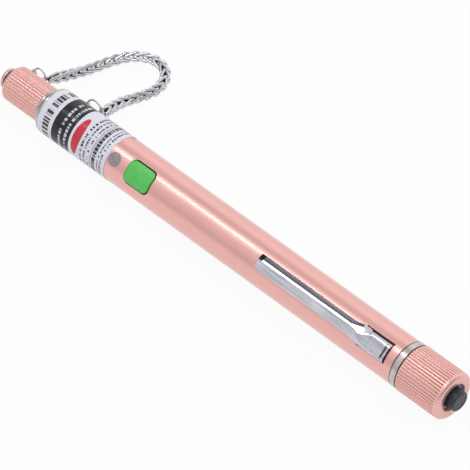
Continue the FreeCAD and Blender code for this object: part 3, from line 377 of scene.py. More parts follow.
def fluted_metal(name, count, start, end, shade):
    """Rose metal with painted shade along the bottom of each groove."""
    material = finish(name, (0.89, 0.52, 0.475), (0.87, 0.50, 0.455), (0.34, 0.4), 0.7, 2200.0, bump=0.02,
                      bump_depth=0.00001)
    nodes, links, shader = nodes_of(material)
    calc = partial(math_node, nodes, links)
    ramp = partial(ramp_of, nodes, links)
    x, y, z = places_of(nodes, links)
    turn = calc("ARCTAN2", z, y)
    blend = 0.1
    grooves = calc("MULTIPLY", turn, count / (2 * math.pi))
    nearest = calc("PINGPONG", calc("FRACT", grooves), 0.5)
    groove = ramp(nearest, 0.05, 0.25, shade, 0.0)
    inside = calc("MULTIPLY", ramp(x, start - blend, start + blend, 0, 1),
                  ramp(x, end - blend, end + blend, 1, 0))
    # Painted shade: the groove mask darkens the base colour where the grooves would lie in shadow.
    darken(nodes, links, shader, calc("MULTIPLY", groove, inside), (0.46, 0.15, 0.13))
    return material


dust_cap_metal = fluted_metal("rose_dust_cap", DUST_CAP_FLUTES, *DUST_CAP_FLUTED, 0.55)
tail_cap_metal = fluted_metal("rose_tail_cap", TAIL_CAP_FLUTES, *TAIL_CAP_FLUTED, 0.8)
plug_metal = finish("pale_rose_plug", (0.80, 0.58, 0.56), (0.74, 0.53, 0.51), (0.3, 0.38), 0.7, 1800.0,
                    bump=0.05)


def painted_joint_shade(material, *places):
    """Darkens a turned piece with painted shade along the gaps where it meets its neighbours."""
    nodes, links, shader = nodes_of(material)
    calc = partial(math_node, nodes, links)
    ramp = partial(ramp_of, nodes, links)
    x = places_of(nodes, links)[0]
    lines = None
    for place, width in places:
        away = calc("ABSOLUTE", calc("SUBTRACT", x, place))
        line = ramp(away, width * 0.6, width, 0.92, 0.0)
        lines = line if lines is None else calc("MAXIMUM", lines, line)
    # Painted shade: a near-black line over each gap between the parts.
    darken(nodes, links, shader, lines, (0.03, 0.028, 0.03))
    return material


silver_metal = finish("turned_silver", (0.58, 0.565, 0.54), (0.47, 0.455, 0.43), (0.2, 0.3), 1.0, 900.0,
                      stretch=(6, 0.6, 0.6), bump=0.15)
# Painted shade at the ring's joints with the barrel and the tail cap.
ring_metal = painted_joint_shade(
    finish("tail_ring_silver", (0.66, 0.62, 0.60), (0.5, 0.465, 0.45), (0.2, 0.3), 1.0, 900.0,
           stretch=(6, 0.6, 0.6), bump=0.15),
    (146.7, 0.28), (148.85, 0.24))


def make_clip_metal():
    """Bright steel, with a painted dark reflection on the back of its fold and a painted shadow along the
    joint at the tray's end.
    """
    material = finish("pressed_clip_steel", (0.66, 0.66, 0.72), (0.44, 0.44, 0.50), (0.08, 0.16), 1.0, 1300.0,
                      stretch=(0.1, 1, 1), bump=0.4, bump_depth=0.00004, detail=2.0)
    nodes, links, shader = nodes_of(material)
    calc = partial(math_node, nodes, links)
    ramp = partial(ramp_of, nodes, links)
    x, y, z = places_of(nodes, links, CLIP_ANGLE)
    arm_end, joint_place, tray_height = 130.4, 142.6, 7.3
    widening = calc("MAXIMUM", calc("SUBTRACT", x, arm_end), 0.0)
    fold = calc("SUBTRACT", y, calc("MULTIPLY", widening, 0.3))
    back = calc("MULTIPLY", ramp(fold, 0.98, 1.1, 0.0, 1.0), ramp(fold, 1.2, 2.4, 0.88, 0.5))
    arm = calc("MULTIPLY", back, ramp(x, 133.2, 133.8, 1.0, 0.0))
    # Painted dark reflection on the back facet of the fold.
    darken(nodes, links, shader, arm, (0.1, 0.1, 0.115))
    away = calc("ABSOLUTE", calc("SUBTRACT", x, joint_place))
    joint = calc("MULTIPLY", ramp(away, 0.17, 0.27, 0.93, 0.0),
                 ramp(z, tray_height, tray_height + 0.1, 0.0, 1.0))
    # Painted shadow in the joint line at the tray's end.
    darken(nodes, links, shader, joint, (0.05, 0.05, 0.06))
    return material


clip_metal = make_clip_metal()
wire_metal = finish("chain_steel", (0.66, 0.66, 0.70), (0.54, 0.54, 0.58), (0.14, 0.24), 1.0, 1500.0,
                    bump=0.1)


def make_chain_metal():
    """Bright wire with painted shade inside the braid, by a number kept at each point of the links."""
    material = finish("braided_chain_steel", (0.74, 0.74, 0.78), (0.64, 0.64, 0.68), (0.2, 0.3), 1.0, 1500.0,
                      bump=0.05)
    nodes, links, shader = nodes_of(material)
    crevice_shade = nodes.new("ShaderNodeAttribute")
    crevice_shade.attribute_name = "crevice_shade"
    # Painted shade deep in the braid.
    darken(nodes, links, shader, crevice_shade.outputs["Fac"], (0.1, 0.1, 0.115))
    return material


chain_metal = make_chain_metal()
spring_metal = finish("spring_steel", (0.58, 0.57, 0.55), (0.5, 0.49, 0.47), (0.25, 0.35), 1.0, 900.0)
diode_metal = finish("plated_brass", (0.72, 0.52, 0.22), (0.66, 0.46, 0.18), (0.2, 0.3), 1.0, 700.0)

# %% Plastics and other finishes
def make_green_plastic():
    """The button's plastic, dark down its shaft, where little light gets in."""
    material = finish("green_button_plastic", (0.075, 0.52, 0.09), (0.12, 0.58, 0.12), (0.3, 0.42), 0.0,
                      650.0, bump=0.2, bump_depth=0.00003)
    nodes, links, shader = nodes_of(material)
    height = places_of(nodes, links, CONTROL_ANGLE)[2]
    darken(nodes, links, shader, ramp_of(nodes, links, height, 6.25, 6.6, 0.93, 0.0), (0.004, 0.02, 0.006))
    return material


green_plastic = make_green_plastic()
black_plastic = finish("black_plastic", (0.024, 0.029, 0.048), (0.014, 0.017, 0.028), (0.3, 0.42), 0.0,
                       2200.0)
grey_plastic = finish("grey_plastic", (0.40, 0.41, 0.45), (0.33, 0.34, 0.37), (0.35, 0.45), 0.0, 1800.0)
window_plastic = finish("smoked_window", (0.33, 0.29, 0.31), (0.24, 0.20, 0.22), (0.12, 0.2), 0.0, 700.0,
                        Coat_Weight=0.6, Coat_Roughness=0.05)
seal_rubber = finish("seal_rubber", (0.06, 0.03, 0.03), (0.04, 0.02, 0.02), (0.55, 0.7), 0.0, 1800.0)
sleeve_ceramic = finish("sleeve_ceramic", (0.86, 0.84, 0.78), (0.82, 0.8, 0.74), (0.1, 0.18), 0.0, 900.0)
lens_glass = finish("lens_glass", (0.95, 0.97, 0.98), (0.93, 0.95, 0.97), (0.01, 0.03), 0.0, 300.0,
                    bump=0.0, Transmission_Weight=1.0)
board_laminate = finish("board_laminate", (0.015, 0.19, 0.07), (0.02, 0.24, 0.09), (0.3, 0.4), 0.0, 1200.0)
cell_jacket = finish("cell_jacket", (0.12, 0.13, 0.17), (0.09, 0.10, 0.13), (0.25, 0.35), 0.3, 800.0)
liner_card = finish("liner_card", (0.55, 0.45, 0.32), (0.48, 0.39, 0.27), (0.7, 0.85), 0.0, 2500.0)
print("finishes:", len(bpy.data.materials))

# %% [markdown]
# Hidden solids keep their own shapes. Each only swaps its plain material for a node one.

# %% Dress the hidden solids
INNER = {
    "ferrule_sleeve": sleeve_ceramic, "laser_housing": diode_metal, "collimator_lens": lens_glass,
    "laser_diode": diode_metal, "board_carrier": black_plastic, "circuit_board": board_laminate,
    "indicator_led": window_plastic, "mode_switch": grey_plastic, "switch_plunger": black_plastic,
    "battery_liner": liner_card, "front_contact": spring_metal, "front_battery": cell_jacket,
    "rear_battery": cell_jacket, "switch_retainer": spring_metal, "switch_body": black_plastic,
    "tail_spring": spring_metal,
}


def dress(node, material):
    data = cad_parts[node].data
    data.materials.clear()
    data.materials.append(material)


for node, material in INNER.items():
    dress(node, material)
print("dressed", len(INNER), "solids")

# %% [markdown]
# Most of the pen is turned on a lathe, so most pieces start as a circle across the axis. The
# circle's edge is extruded along the axis from station to station and scaled to the radius there.
# A Bevel modifier then breaks the sharp rims, because a machined edge is never quite sharp.

# %% Helpers for turned pieces
def pick(kind, test):
    """In edit mode, selects the vertices, edges or faces whose middle, in millimetres, passes the test."""
    bpy.ops.mesh.select_mode(type=kind)
    bpy.ops.mesh.select_all(action="DESELECT")
    data = bpy.context.edit_object.data
    mesh = bmesh.from_edit_mesh(data)
    found = 0
    for item in {"VERT": mesh.verts, "EDGE": mesh.edges, "FACE": mesh.faces}[kind]:
        corners = [item] if kind == "VERT" else item.verts
        middle = sum((v.co for v in corners), Vector()) / len(corners) / MM
        if test(middle):
            item.select_set(True)
            found += 1
    mesh.select_flush_mode()
    bmesh.update_edit_mesh(data)
    return found


def radius_of(point):
    return math.hypot(point.y, point.z)


def turned(name, stations, sides=128):
    """A skin turned about X through (x, radius) stations in millimetres, left in edit mode."""
    clear_selection()
    x, radius = stations[0]
    bpy.ops.mesh.primitive_circle_add(
        vertices=sides, radius=radius * MM, location=(x * MM, 0, 0), rotation=(0, math.pi / 2, 0)
    )
    piece = bpy.context.object
    piece.name = name
    bpy.ops.object.transform_apply(location=True, rotation=True, scale=True)
    bpy.ops.object.mode_set(mode="EDIT")
    bpy.ops.mesh.select_mode(type="EDGE")
    bpy.ops.mesh.select_all(action="SELECT")
    for (x, radius), (next_x, next_radius) in zip(stations, stations[1:]):
        bpy.ops.mesh.extrude_edges_move(TRANSFORM_OT_translate={"value": ((next_x - x) * MM, 0, 0)})
        grow = next_radius / radius
        bpy.ops.transform.resize(value=(1, grow, grow), center_override=(next_x * MM, 0, 0))
    return piece


def close_end(x, radius):
    """Fills the open circle at x with one face."""
    pick("EDGE", lambda p: abs(p.x - x) < 0.001 and radius_of(p) < radius + 0.01)
    bpy.ops.mesh.edge_face_add()


def cylinder(name, radius, depth, place, vertices=32, rotation=(0, 0, 0)):
    """A plain cylinder, upright unless it is turned. Its sizes and its place are in millimetres."""
    clear_selection()
    bpy.ops.mesh.primitive_cylinder_add(vertices=vertices, radius=radius * MM, depth=depth * MM,
                                        location=tuple(v * MM for v in place), rotation=rotation)
    piece = bpy.context.object
    piece.name = name
    bpy.ops.object.transform_apply(location=True, rotation=True)
    return piece


def apply_modifier(piece, kind, **settings):
    """Adds a modifier and applies it at once."""
    select_only(piece)
    modifier = piece.modifiers.new(kind.lower(), kind)
    for key, value in settings.items():
        setattr(modifier, key, value)
    bpy.ops.object.modifier_apply(modifier=modifier.name)


def cut(piece, cutter, operation="DIFFERENCE"):
    apply_modifier(piece, "BOOLEAN", object=cutter, operation=operation, solver="EXACT")
    bpy.data.objects.remove(cutter, do_unlink=True)


def soften(piece, width, segments=3, angle=30.0):
    """Rounds the sharp edges."""
    apply_modifier(piece, "BEVEL", width=width * MM, segments=segments, limit_method="ANGLE",
                   angle_limit=math.radians(angle), use_clamp_overlap=True)


def swing(piece, angle):
    """Turns a piece that was modelled at the top round to its place on the barrel."""
    select_only(piece)
    piece.rotation_euler = (angle, 0, 0)
    bpy.ops.object.transform_apply(location=True, rotation=True, scale=True)


def complete(piece, body, material, nodes=(), smooth=30.0, merge=True):
    """Merges doubles, points the faces outwards, shades, and hands the piece to its body."""
    select_only(piece)
    bpy.ops.object.mode_set(mode="EDIT")
    bpy.ops.mesh.select_all(action="SELECT")
    if merge:
        bpy.ops.mesh.remove_doubles(threshold=0.002 * MM)
    bpy.ops.mesh.normals_make_consistent(inside=False)
    bpy.ops.object.mode_set(mode="OBJECT")
    bpy.ops.object.shade_smooth_by_angle(angle=math.radians(smooth))
    piece.data.materials.clear()
    piece.data.materials.append(material)
    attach(piece, body)
    if nodes:
        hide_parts(*nodes)
    print(piece.name, "faces:", len(piece.data.polygons))


# %% [markdown]
# The barrel is a thin tube with four openings: the button's, the round window's, the clip's and
# the small hole for the lanyard eye. The tube is turned with extra rings beside each opening, so
# that a cut disturbs the smooth shading only near itself, and each opening is cut by a boolean.

# %% Barrel
def prism(name, x, length, width, corner=0.0, low=3.0, high=9.0):
    """A cutter over the top of the barrel: a box whose upright edges may be rounded."""
    clear_selection()
    bpy.ops.mesh.primitive_cube_add(size=1, location=(x * MM, 0, (low + high) / 2 * MM))
    cutter = bpy.context.object
    cutter.name = name
    cutter.scale = (length * MM, width * MM, (high - low) * MM)
    bpy.ops.object.transform_apply(location=True, rotation=True, scale=True)
    if corner:
        bpy.ops.object.mode_set(mode="EDIT")
        middle = (low + high) / 2
        pick("EDGE", lambda p: abs(p.z - middle) < 0.01 and abs(p.x - x) > length / 2 - 0.01
             and abs(p.y) > width / 2 - 0.01)
        bpy.ops.mesh.bevel(offset=corner * MM, segments=8)
        bpy.ops.object.mode_set(mode="OBJECT")
    return cutter


def make_barrel():
    front, back, bore, rim = 11.5, 146.6, 5.8, 6.85
    rings = [11.65, 15, 17, 37, 37.9, 42.6, 44.9, 54.9, 56, 80, 110, 132.5, 144.1, 146.4]
    outside = [(front, rim)] + [(x, BARREL_RADIUS) for x in rings] + [(back, rim)]
    barrel = turned("barrel", [(back, bore), (front, bore)] + outside + [(back, bore)], sides=192)
    complete(barrel, "root", rose_metal, ["barrel_tube"])
    for cutter, angle in (
        (prism("button_opening", BUTTON_PLACE, 9.6, 7.45, 1.85), CONTROL_ANGLE),
        (prism("clip_opening", 138.875, 10.15, 6.3), CLIP_ANGLE),
    ):
        swing(cutter, angle)
        cut(barrel, cutter)
    for x, radius, angle in ((WINDOW_PLACE, 2.08, CONTROL_ANGLE), (BARREL_EYE_PLACE, 0.75, -math.pi / 2)):
        cutter = cylinder("round_opening", radius, 5, (x, 0, 6.5), vertices=48)
        swing(cutter, angle)
        cut(barrel, cutter)
    select_only(barrel)
    bpy.ops.object.shade_smooth_by_angle(angle=math.radians(30))


make_barrel()

# %% [markdown]
# The silver pieces are turned: the nose with its neck under the dust cap and the bevelled ring in
# front of the label, and the threaded coupling whose flange shows as a ring before the tail cap.

# %% Nose and tail ring
def make_nose():
    stations = [(0, 1.65), (0, 4.0), (0.4, 4.4), (8.9, 4.4), (8.9, 5.45), (9.0, 5.55), (9.6, 5.55),
                (10.9, 7.0), (11.5, 7.0), (11.5, 5.75), (15.5, 5.75), (15.5, 3.48), (10.3, 3.48),
                (10.3, 1.65), (0, 1.65)]
    nose = turned("nose", stations)
    complete(nose, "root", silver_metal, ["nose_adapter"])
    soften(nose, 0.06)
    complete(nose, "root", silver_metal)


def make_tail_ring():
    threads = []
    for i in range(6):
        x = 149.2 + i
        threads += [(x, 6.2), (x + 0.25, 5.9), (x + 0.5, 5.9), (x + 0.75, 6.2)]
    flange = [(146.6, 5.75), (146.6, 6.95), (146.75, 7.1), (148.75, 7.1), (148.9, 6.95), (148.9, 6.2)]
    stations = [(141.6, 5.35), (141.6, 5.75), *flange, *threads, (155.4, 6.05), (155.4, 5.35), (141.6, 5.35)]
    ring = turned("tail_ring", stations)
    complete(ring, "root", ring_metal, ["tail_coupling"])


make_nose()
make_tail_ring()

# %% [markdown]
# Both caps are fluted. A circle with eight vertices for each flute is turned into the cap's outline.
# One column in eight is then scaled in towards the axis, and its neighbours half as far, which
# leaves a shallow V groove between flat crests. The grooves stop short of the rounded ends.

# %% Flutes
def flute(piece, count, start, end, radius, depth):
    """Scales in the groove columns of the outer skin between start and end."""
    step = 2 * math.pi / count
    for column, deep in ((0, depth), (1, depth / 2)):

        def in_groove(p):
            turn = (math.atan2(p.z, p.y) / step) % 1.0
            near = abs(min(turn, 1.0 - turn) - column / COLUMNS_PER_FLUTE) < 0.04
            return near and start <= p.x <= end and radius_of(p) > radius - 0.05

        found = pick("VERT", in_groove)
        shrink = (radius - deep) / radius
        bpy.ops.transform.resize(value=(1, shrink, shrink), center_override=(0, 0, 0))
        print(piece.name, "groove points:", found)


def rounding(x, radius, size, steps, backwards=False):
    """Stations of a quarter round that ends at x, from the side's radius to the face."""
    points = []
    for i in range(1, steps + 1):
        turn = math.pi / 2 * i / steps
        along = x - size + size * math.sin(turn)
        points.append((along, radius - size + size * math.cos(turn)))
    if backwards:
        points = [(2 * x - along, r) for along, r in reversed(points)]
    return points


# %% Dust cap
def make_dust_cap():
    face, bore, plug_hole, inner_face = -5.2, 4.48, 1.55, -0.6
    front = rounding(face, DUST_CAP_RADIUS, 1.1, 6, backwards=True)
    side = [(x, DUST_CAP_RADIUS) for x in (-4.1, -4.0, -3.8, 8.5, 8.65)]
    stations = [(inner_face, plug_hole), (face, plug_hole), *front, *side, (8.8, 5.25), (8.8, bore),
                (inner_face, bore), (inner_face, plug_hole)]
    cap = turned("dust_cap_shell", stations, sides=DUST_CAP_FLUTES * COLUMNS_PER_FLUTE)
    flute(cap, DUST_CAP_FLUTES, *DUST_CAP_FLUTED, DUST_CAP_RADIUS, 0.14)
    complete(cap, "dust_cap", dust_cap_metal, ["dust_cap"], smooth=50)
    hole = cylinder("eye_hole", 0.75, 2.3, (CAP_EYE_PLACE, DUST_CAP_RADIUS, 0), rotation=(math.pi / 2, 0, 0))
    cut(cap, hole)


def make_cap_front():
    seal = turned("cap_seal_ring", [(-6.7, 1.55), (-6.7, 2.7), (-6.6, 2.8), (-5.3, 2.8), (-5.2, 2.7),
                                    (-5.2, 1.55), (-6.7, 1.55)])
    complete(seal, "dust_cap", seal_rubber, ["cap_seal"])
    plug = turned("cap_plug_turned", [(-7.65, 3.0), (-7.6, 3.12), (-7.45, 3.2), (-6.82, 3.2), (-6.7, 3.12),
                                      (-6.7, 1.5), (-2.6, 1.5)])
    close_end(-7.65, 3.0)
    close_end(-2.6, 1.5)
    complete(plug, "dust_cap", plug_metal, ["cap_plug"])


make_dust_cap()
make_cap_front()

# %% Tail cap
def make_tail_cap():
    front, back, thread_bore = 149.0, 164, 6.28
    side = [(x, TAIL_CAP_RADIUS) for x in (149.15, 149.3, 162.6, 162.7)]
    hole = [(back, 4.45), (163.85, 4.3), (162.8, 4.3), (162.8, 6.0), (155.5, 6.0)]
    stations = [(front, thread_bore), (front, 7.05), *side, *rounding(back, TAIL_CAP_RADIUS, 1.3, 7), *hole,
                (155.5, thread_bore), (front, thread_bore)]
    cap = turned("tail_cap_shell", stations, sides=TAIL_CAP_FLUTES * COLUMNS_PER_FLUTE)
    flute(cap, TAIL_CAP_FLUTES, *TAIL_CAP_FLUTED, TAIL_CAP_RADIUS, 0.18)
    complete(cap, "tail_cap", tail_cap_metal, ["tail_cap"], smooth=50)


def make_push_switch():
    collar = turned("collar", [(161.45, 3.23), (162.6, 3.23), (162.75, 3.38), (162.75, 5.95), (161.45, 5.95),
                               (161.45, 3.23)])
    complete(collar, "switch_module", grey_plastic, ["switch_collar"])
    tip = rounding(166.2, 3.0, 0.35, 4)
    button = turned("push_button", [(160.35, 3.8), (161.35, 3.8), (161.35, 3.15), (164, 3.15), (165.85, 3.0)]
                    + tip + [(166.2, 2.2), (166.12, 2.1), (166.12, 0.6)], sides=96)
    close_end(160.35, 3.8)
    close_end(166.12, 0.6)
    complete(button, "tail_button", black_plastic, ["tail_button"])


make_tail_cap()
make_push_switch()

# %% [markdown]
# The green button is a moulded cap: a rounded block whose top follows the barrel's curve and
# stands a little proud of it. A block is cut to that curve by a boolean with a larger cylinder,
# then its rim is rounded. The window beside it is a light pipe: a cylinder whose outer end is laid
# to the barrel's curve.

# %% Button and window
def make_button():
    button = prism("button", BUTTON_PLACE, 8.9, 6.8, 1.6, 2.85, 8.0)
    crown_radius = 7.45
    crown = cylinder("crown", crown_radius, 20, (BUTTON_PLACE, 0, 0), 256, rotation=(0, math.pi / 2, 0))
    cut(button, crown, "INTERSECT")
    flange = prism("flange", BUTTON_PLACE, 10.5, 8.4, 1.7, 2.85, 3.55)
    cut(button, flange, "UNION")
    soften(button, 0.32, 4, 35)
    swing(button, CONTROL_ANGLE)
    complete(button, "mode_button", green_plastic, ["mode_button"], smooth=40)


def make_window():
    skin = 6.99
    window = cylinder("window_lens", 2.03, 5.2, (WINDOW_PLACE, 0, 4.4), vertices=64)
    bpy.ops.object.mode_set(mode="EDIT")
    pick("FACE", lambda p: p.z > skin)
    for thickness in (0.25, 0.6, 0.7):
        bpy.ops.mesh.inset(thickness=thickness * MM, depth=0.0)
    bpy.ops.object.mode_set(mode="OBJECT")
    for vertex in window.data.vertices:
        if vertex.co.z > 6.9 * MM:
            vertex.co.z = math.sqrt((skin * MM) ** 2 - vertex.co.y ** 2)
    swing(window, CONTROL_ANGLE)
    complete(window, "root", window_plastic, ["indicator_window"])


make_button()
make_window()

# %% [markdown]
# The pocket clip is pressed from one strip of sheet steel. Its arm is folded along an off-centre
# ridge, its free tip slopes down, and its root runs out into a raised tray that sits in the
# barrel's opening. A grid of five rows gives the folds; each point is moved to its place, the
# sheet gets its thickness, and small bevels turn the folds into bright lines.

# %% Pocket clip
def make_clip():
    """Each station is x, then (y, z) across the strip: lower edge, three points of the fold, upper edge."""
    stations = [
        (95.4, [(-2.2, 6.73), (-0.3, 7.2), (0.5, 7.28), (0.95, 7.13), (2.2, 6.73)]),
        (97.3, [(-2.4, 6.73), (0.3, 8.17), (0.5, 8.25), (0.95, 8.1), (2.35, 7.2)]),
        (130.4, [(-2.4, 7.38), (0.3, 8.7), (0.5, 8.78), (0.95, 8.63), (2.32, 7.42)]),
        (131.8, [(-2.5, 7.25), (0.0, 8.52), (0.4, 8.64), (1.3, 8.33), (2.45, 7.25)]),
        (133.4, [(-2.8, 6.95), (-1.1, 7.98), (-0.2, 8.16), (1.8, 7.48), (2.8, 6.95)]),
        (136.0, [(-3.08, 6.42), (-2.2, 7.75), (0.7, 7.85), (1.9, 7.44), (2.8, 5.95)]),
        (137.2, [(-3.08, 6.42), (-2.2, 7.85), (1.45, 7.85), (1.9, 7.7), (2.8, 5.95)]),
        (143.1, [(-3.08, 6.42), (-2.2, 7.85), (1.45, 7.85), (1.9, 7.7), (2.8, 5.95)]),
        (143.6, [(-3.0, 6.42), (-2.1, 7.65), (1.4, 7.65), (1.85, 7.5), (2.65, 5.95)]),
        (143.6, [(-3.0, 6.2), (-2.1, 5.9), (1.4, 5.9), (1.85, 5.9), (2.65, 5.9)]),
    ]
    clear_selection()
    bpy.ops.mesh.primitive_grid_add(x_subdivisions=len(stations) - 1, y_subdivisions=4, size=1)
    clip = bpy.context.object
    clip.name = "clip"
    bpy.ops.object.mode_set(mode="EDIT")
    points_now = [v.co for v in bmesh.from_edit_mesh(clip.data).verts]
    columns = sorted({round(point.x, 5) for point in points_now})
    rows = sorted({round(point.y, 5) for point in points_now})
    for column, (x, points) in zip(columns, stations):
        for row, (y, z) in zip(rows, points):
            pick("VERT", lambda p: abs(p.x * MM - column) < 1e-4 and abs(p.y * MM - row) < 1e-4
                 and abs(p.z) < 1e-6)
            bpy.ops.transform.translate(value=(x * MM - column, y * MM - row, z * MM))
    margin, recess, sheet = 0.28, 0.14, 0.5
    pick("FACE", lambda p: 138 < p.x < 142 and -2 < p.y < 0.8)
    bpy.ops.mesh.inset(thickness=margin * MM, depth=0.0)
    bpy.ops.transform.translate(value=(0, 0, -recess * MM))
    bpy.ops.object.mode_set(mode="OBJECT")
    clip.data.validate()
    apply_modifier(clip, "SOLIDIFY", thickness=sheet * MM, offset=-1.0, use_even_offset=False)
    swing(clip, CLIP_ANGLE)
    complete(clip, "root", clip_metal, ["pocket_clip"], smooth=12, merge=False)
    soften(clip, 0.11, 3, 9)
    complete(clip, "root", clip_metal, smooth=14, merge=False)


make_clip()

# %% [markdown]
# The label is a printed film wrapped round the front of the barrel, with its edges apart at the
# back where the lanyard eye stands. It carries no words: only fields of colour, a blank lozenge
# and rows of short bars. The print is worked out in the material from two numbers, the place
# along the pen and the angle round it.

# %% Printed film
FILM_RADIUS, FILM_THICKNESS = 7.03, 0.075
FILM_OUTSIDE = 7.1


def make_print():
    material = finish("printed_film", (0.76, 0.76, 0.84), (0.72, 0.72, 0.81), (0.28, 0.36), 0.0, 900.0,
                      bump=0.05, Coat_Weight=0.25, Coat_Roughness=0.15, Specular_IOR_Level=0.25)
    nodes, links, shader = nodes_of(material)
    paper = shader.inputs["Base Color"].links[0].from_socket

    calc = partial(math_node, nodes, links)
    split = nodes.new("ShaderNodeSeparateXYZ")
    links.new(next(n for n in nodes if n.type == "TEX_COORD").outputs["Object"], split.inputs[0])
    along = calc("MULTIPLY", split.outputs["X"], 1000.0)
    turn = calc("ARCTAN2", calc("MULTIPLY", split.outputs["Y"], -1.0), split.outputs["Z"])
    around = calc("MULTIPLY", turn, FILM_OUTSIDE)

    def between(value, low, high):
        return calc("MULTIPLY", calc("GREATER_THAN", value, low), calc("LESS_THAN", value, high))

    def bars(low, high, length, gap, seed):
        """A row of bars round the pen: the row's width, and dashes of uneven length in it."""
        place = nodes.new("ShaderNodeCombineXYZ")
        links.new(calc("DIVIDE", around, length), place.inputs[0])
        place.inputs[1].default_value = seed
        noise = nodes.new("ShaderNodeTexVoronoi")
        noise.voronoi_dimensions = "2D"
        noise.feature = "DISTANCE_TO_EDGE"
        noise.inputs["Scale"].default_value = 1.0
        links.new(place.outputs[0], noise.inputs["Vector"])
        dashes = calc("GREATER_THAN", noise.outputs["Distance"], gap)
        return calc("MULTIPLY", between(along, low, high), dashes)

    paint = partial(painted, nodes, links)
    dark, ink, pale = (0.012, 0.014, 0.019), (0.045, 0.045, 0.06), (0.62, 0.62, 0.68)
    red, rule = (0.60, 0.035, 0.06), (0.38, 0.06, 0.09)
    colour = paint(paper, bars(13.5, 15.8, 1.1, 0.13, 0.3), ink)
    colour = paint(colour, between(along, 17.1, 23.9), dark)
    colour = paint(colour, bars(19.8, 20.65, 1.1, 0.12, 4.1), pale)
    colour = paint(colour, bars(21.9, 22.75, 1.3, 0.12, 7.7), pale)
    lozenge = []
    for value, middle, half in ((along, 26.15, 1.45), (around, 6.1, 6.2)):
        away = calc("ABSOLUTE", calc("DIVIDE", calc("SUBTRACT", value, middle), half))
        lozenge.append(calc("POWER", away, 2.0))
    colour = paint(colour, calc("LESS_THAN", calc("ADD", *lozenge), 1.0), red)
    for low, high, length, gap, seed in (
        (28.4, 29.15, 0.9, 0.12, 1.2), (29.85, 30.5, 0.8, 0.13, 2.6), (31.2, 31.85, 0.8, 0.14, 3.9),
        (33.1, 34.35, 1.1, 0.08, 5.5), (35.15, 35.6, 0.8, 0.16, 6.3), (36.1, 36.65, 0.9, 0.13, 8.4),
    ):
        colour = paint(colour, bars(low, high, length, gap, seed), ink)
    for low, high in ((32.38, 32.5), (32.64, 32.76)):
        colour = paint(colour, between(along, low, high), rule)
    links.new(colour, shader.inputs["Base Color"])
    return material


def make_label():
    label = turned("film_label", [(x, FILM_RADIUS) for x in (11.6, 15.4, 17, 23, 30, 38.0)], sides=240)
    half_gap = math.radians(12)
    pick("FACE", lambda p: abs(math.atan2(p.y, p.z) - math.pi / 2) < half_gap)
    bpy.ops.mesh.delete(type="FACE")
    bpy.ops.mesh.select_all(action="SELECT")
    bpy.ops.mesh.normals_make_consistent(inside=False)
    bpy.ops.object.mode_set(mode="OBJECT")
    outward = label.data.polygons[0]
    sign = 1.0 if outward.normal.dot(Vector((0, outward.center.y, outward.center.z))) > 0 else -1.0
    apply_modifier(label, "SOLIDIFY", thickness=FILM_THICKNESS * MM, offset=sign)
    complete(label, "root", make_print(), ["wrap_label"])


make_label()

# %% [markdown]
# The lanyard joins the dust cap to the barrel so that the cap isn't lost. At each end a turned eye
# holds a jump ring of round wire. The real one is wire bent round until its ends meet, and here it
# is a plain closed torus.

# %% Eyes and jump rings
def make_eye(name, x, radius, body, node):
    middle = (x, radius + EYE_STAND, 0)
    eye = cylinder(name, radius=1.1, depth=0.6, place=middle, vertices=40)
    stem = cylinder("stem", radius=0.7, depth=1.55, place=(x, radius - 0.325, 0),
                    rotation=(math.pi / 2, 0, 0))
    cut(eye, stem, "UNION")
    cut(eye, cylinder("drill", radius=0.55, depth=2, place=middle))
    soften(eye, 0.08, 2, 40)
    complete(eye, body, wire_metal, [node])


def wire_ring(name, radius, centre, rotation, segments, body, node):
    """A closed ring of round wire. Its radius and its centre are in millimetres."""
    clear_selection()
    along, across = segments
    bpy.ops.mesh.primitive_torus_add(major_radius=radius * MM, minor_radius=RING_WIRE * MM,
                                     major_segments=along, minor_segments=across,
                                     location=tuple(v * MM for v in centre), rotation=rotation)
    ring = bpy.context.object
    ring.name = name
    bpy.ops.object.transform_apply(location=True, rotation=True)
    complete(ring, body, wire_metal, [node], smooth=60)


def make_jump_ring(name, x, radius, ring_radius, body, node):
    wire_ring(name, ring_radius, (x + ring_radius, radius + EYE_STAND, 0), (math.radians(72.5), 0, 0),
              (72, 14), body, node)


make_eye("barrel_eye_turned", BARREL_EYE_PLACE, BARREL_RADIUS, "root", "barrel_eye")
make_eye("cap_eye_turned", CAP_EYE_PLACE, DUST_CAP_RADIUS, "dust_cap", "cap_eye")
make_jump_ring("barrel_jump_ring", BARREL_EYE_PLACE, BARREL_RADIUS, 2.95, "root", "barrel_ring")
make_jump_ring("cap_jump_ring", CAP_EYE_PLACE, DUST_CAP_RADIUS, 2.42, "dust_cap", "cap_ring")

# %% [markdown]
# The chain is loop-in-loop: each link is a closed wire loop, pinched at its waist and folded into a V, and
# the next link's waist passes through its two ends. One link is drawn as a curve with a round bevel, turned
# into a mesh and copied along the chain's path. For a pull on the cap, the share of the motion that each link
# would follow is worked out and printed.

# %% One link
LINK_LENGTH = 4.53
LINK_WIRE = 0.46


def link_points(steps=18):
    """The middle of the wire: from the waist two arms run out in a V on each face, and close in lobes."""
    reach, waist, mouth = 1.17, 0.5, 0.66
    straight = 0.8
    quarter = []
    for i in range(steps + 1):
        share = i / steps
        bent = max((share - straight) / (1 - straight), 0)
        out = reach * min(share / straight, 1) ** 0.9 - 0.3 * bent ** 2
        width = waist + (mouth - waist) * math.sin(math.pi * min(share, 0.5))
        width *= math.sqrt(max(1 - bent ** 2, 0))
        quarter.append(Vector((out, width, LINK_LENGTH * (share - 0.03 * math.sin(math.pi * share)))))
    back = [Vector((p.x, -p.y, p.z)) for p in reversed(quarter[:-1])]
    left = [Vector((-p.x, -p.y, p.z)) for p in quarter[1:]]
    home = [Vector((-p.x, p.y, p.z)) for p in reversed(quarter[1:-1])]
    return [p * MM for p in quarter + back + left + home]


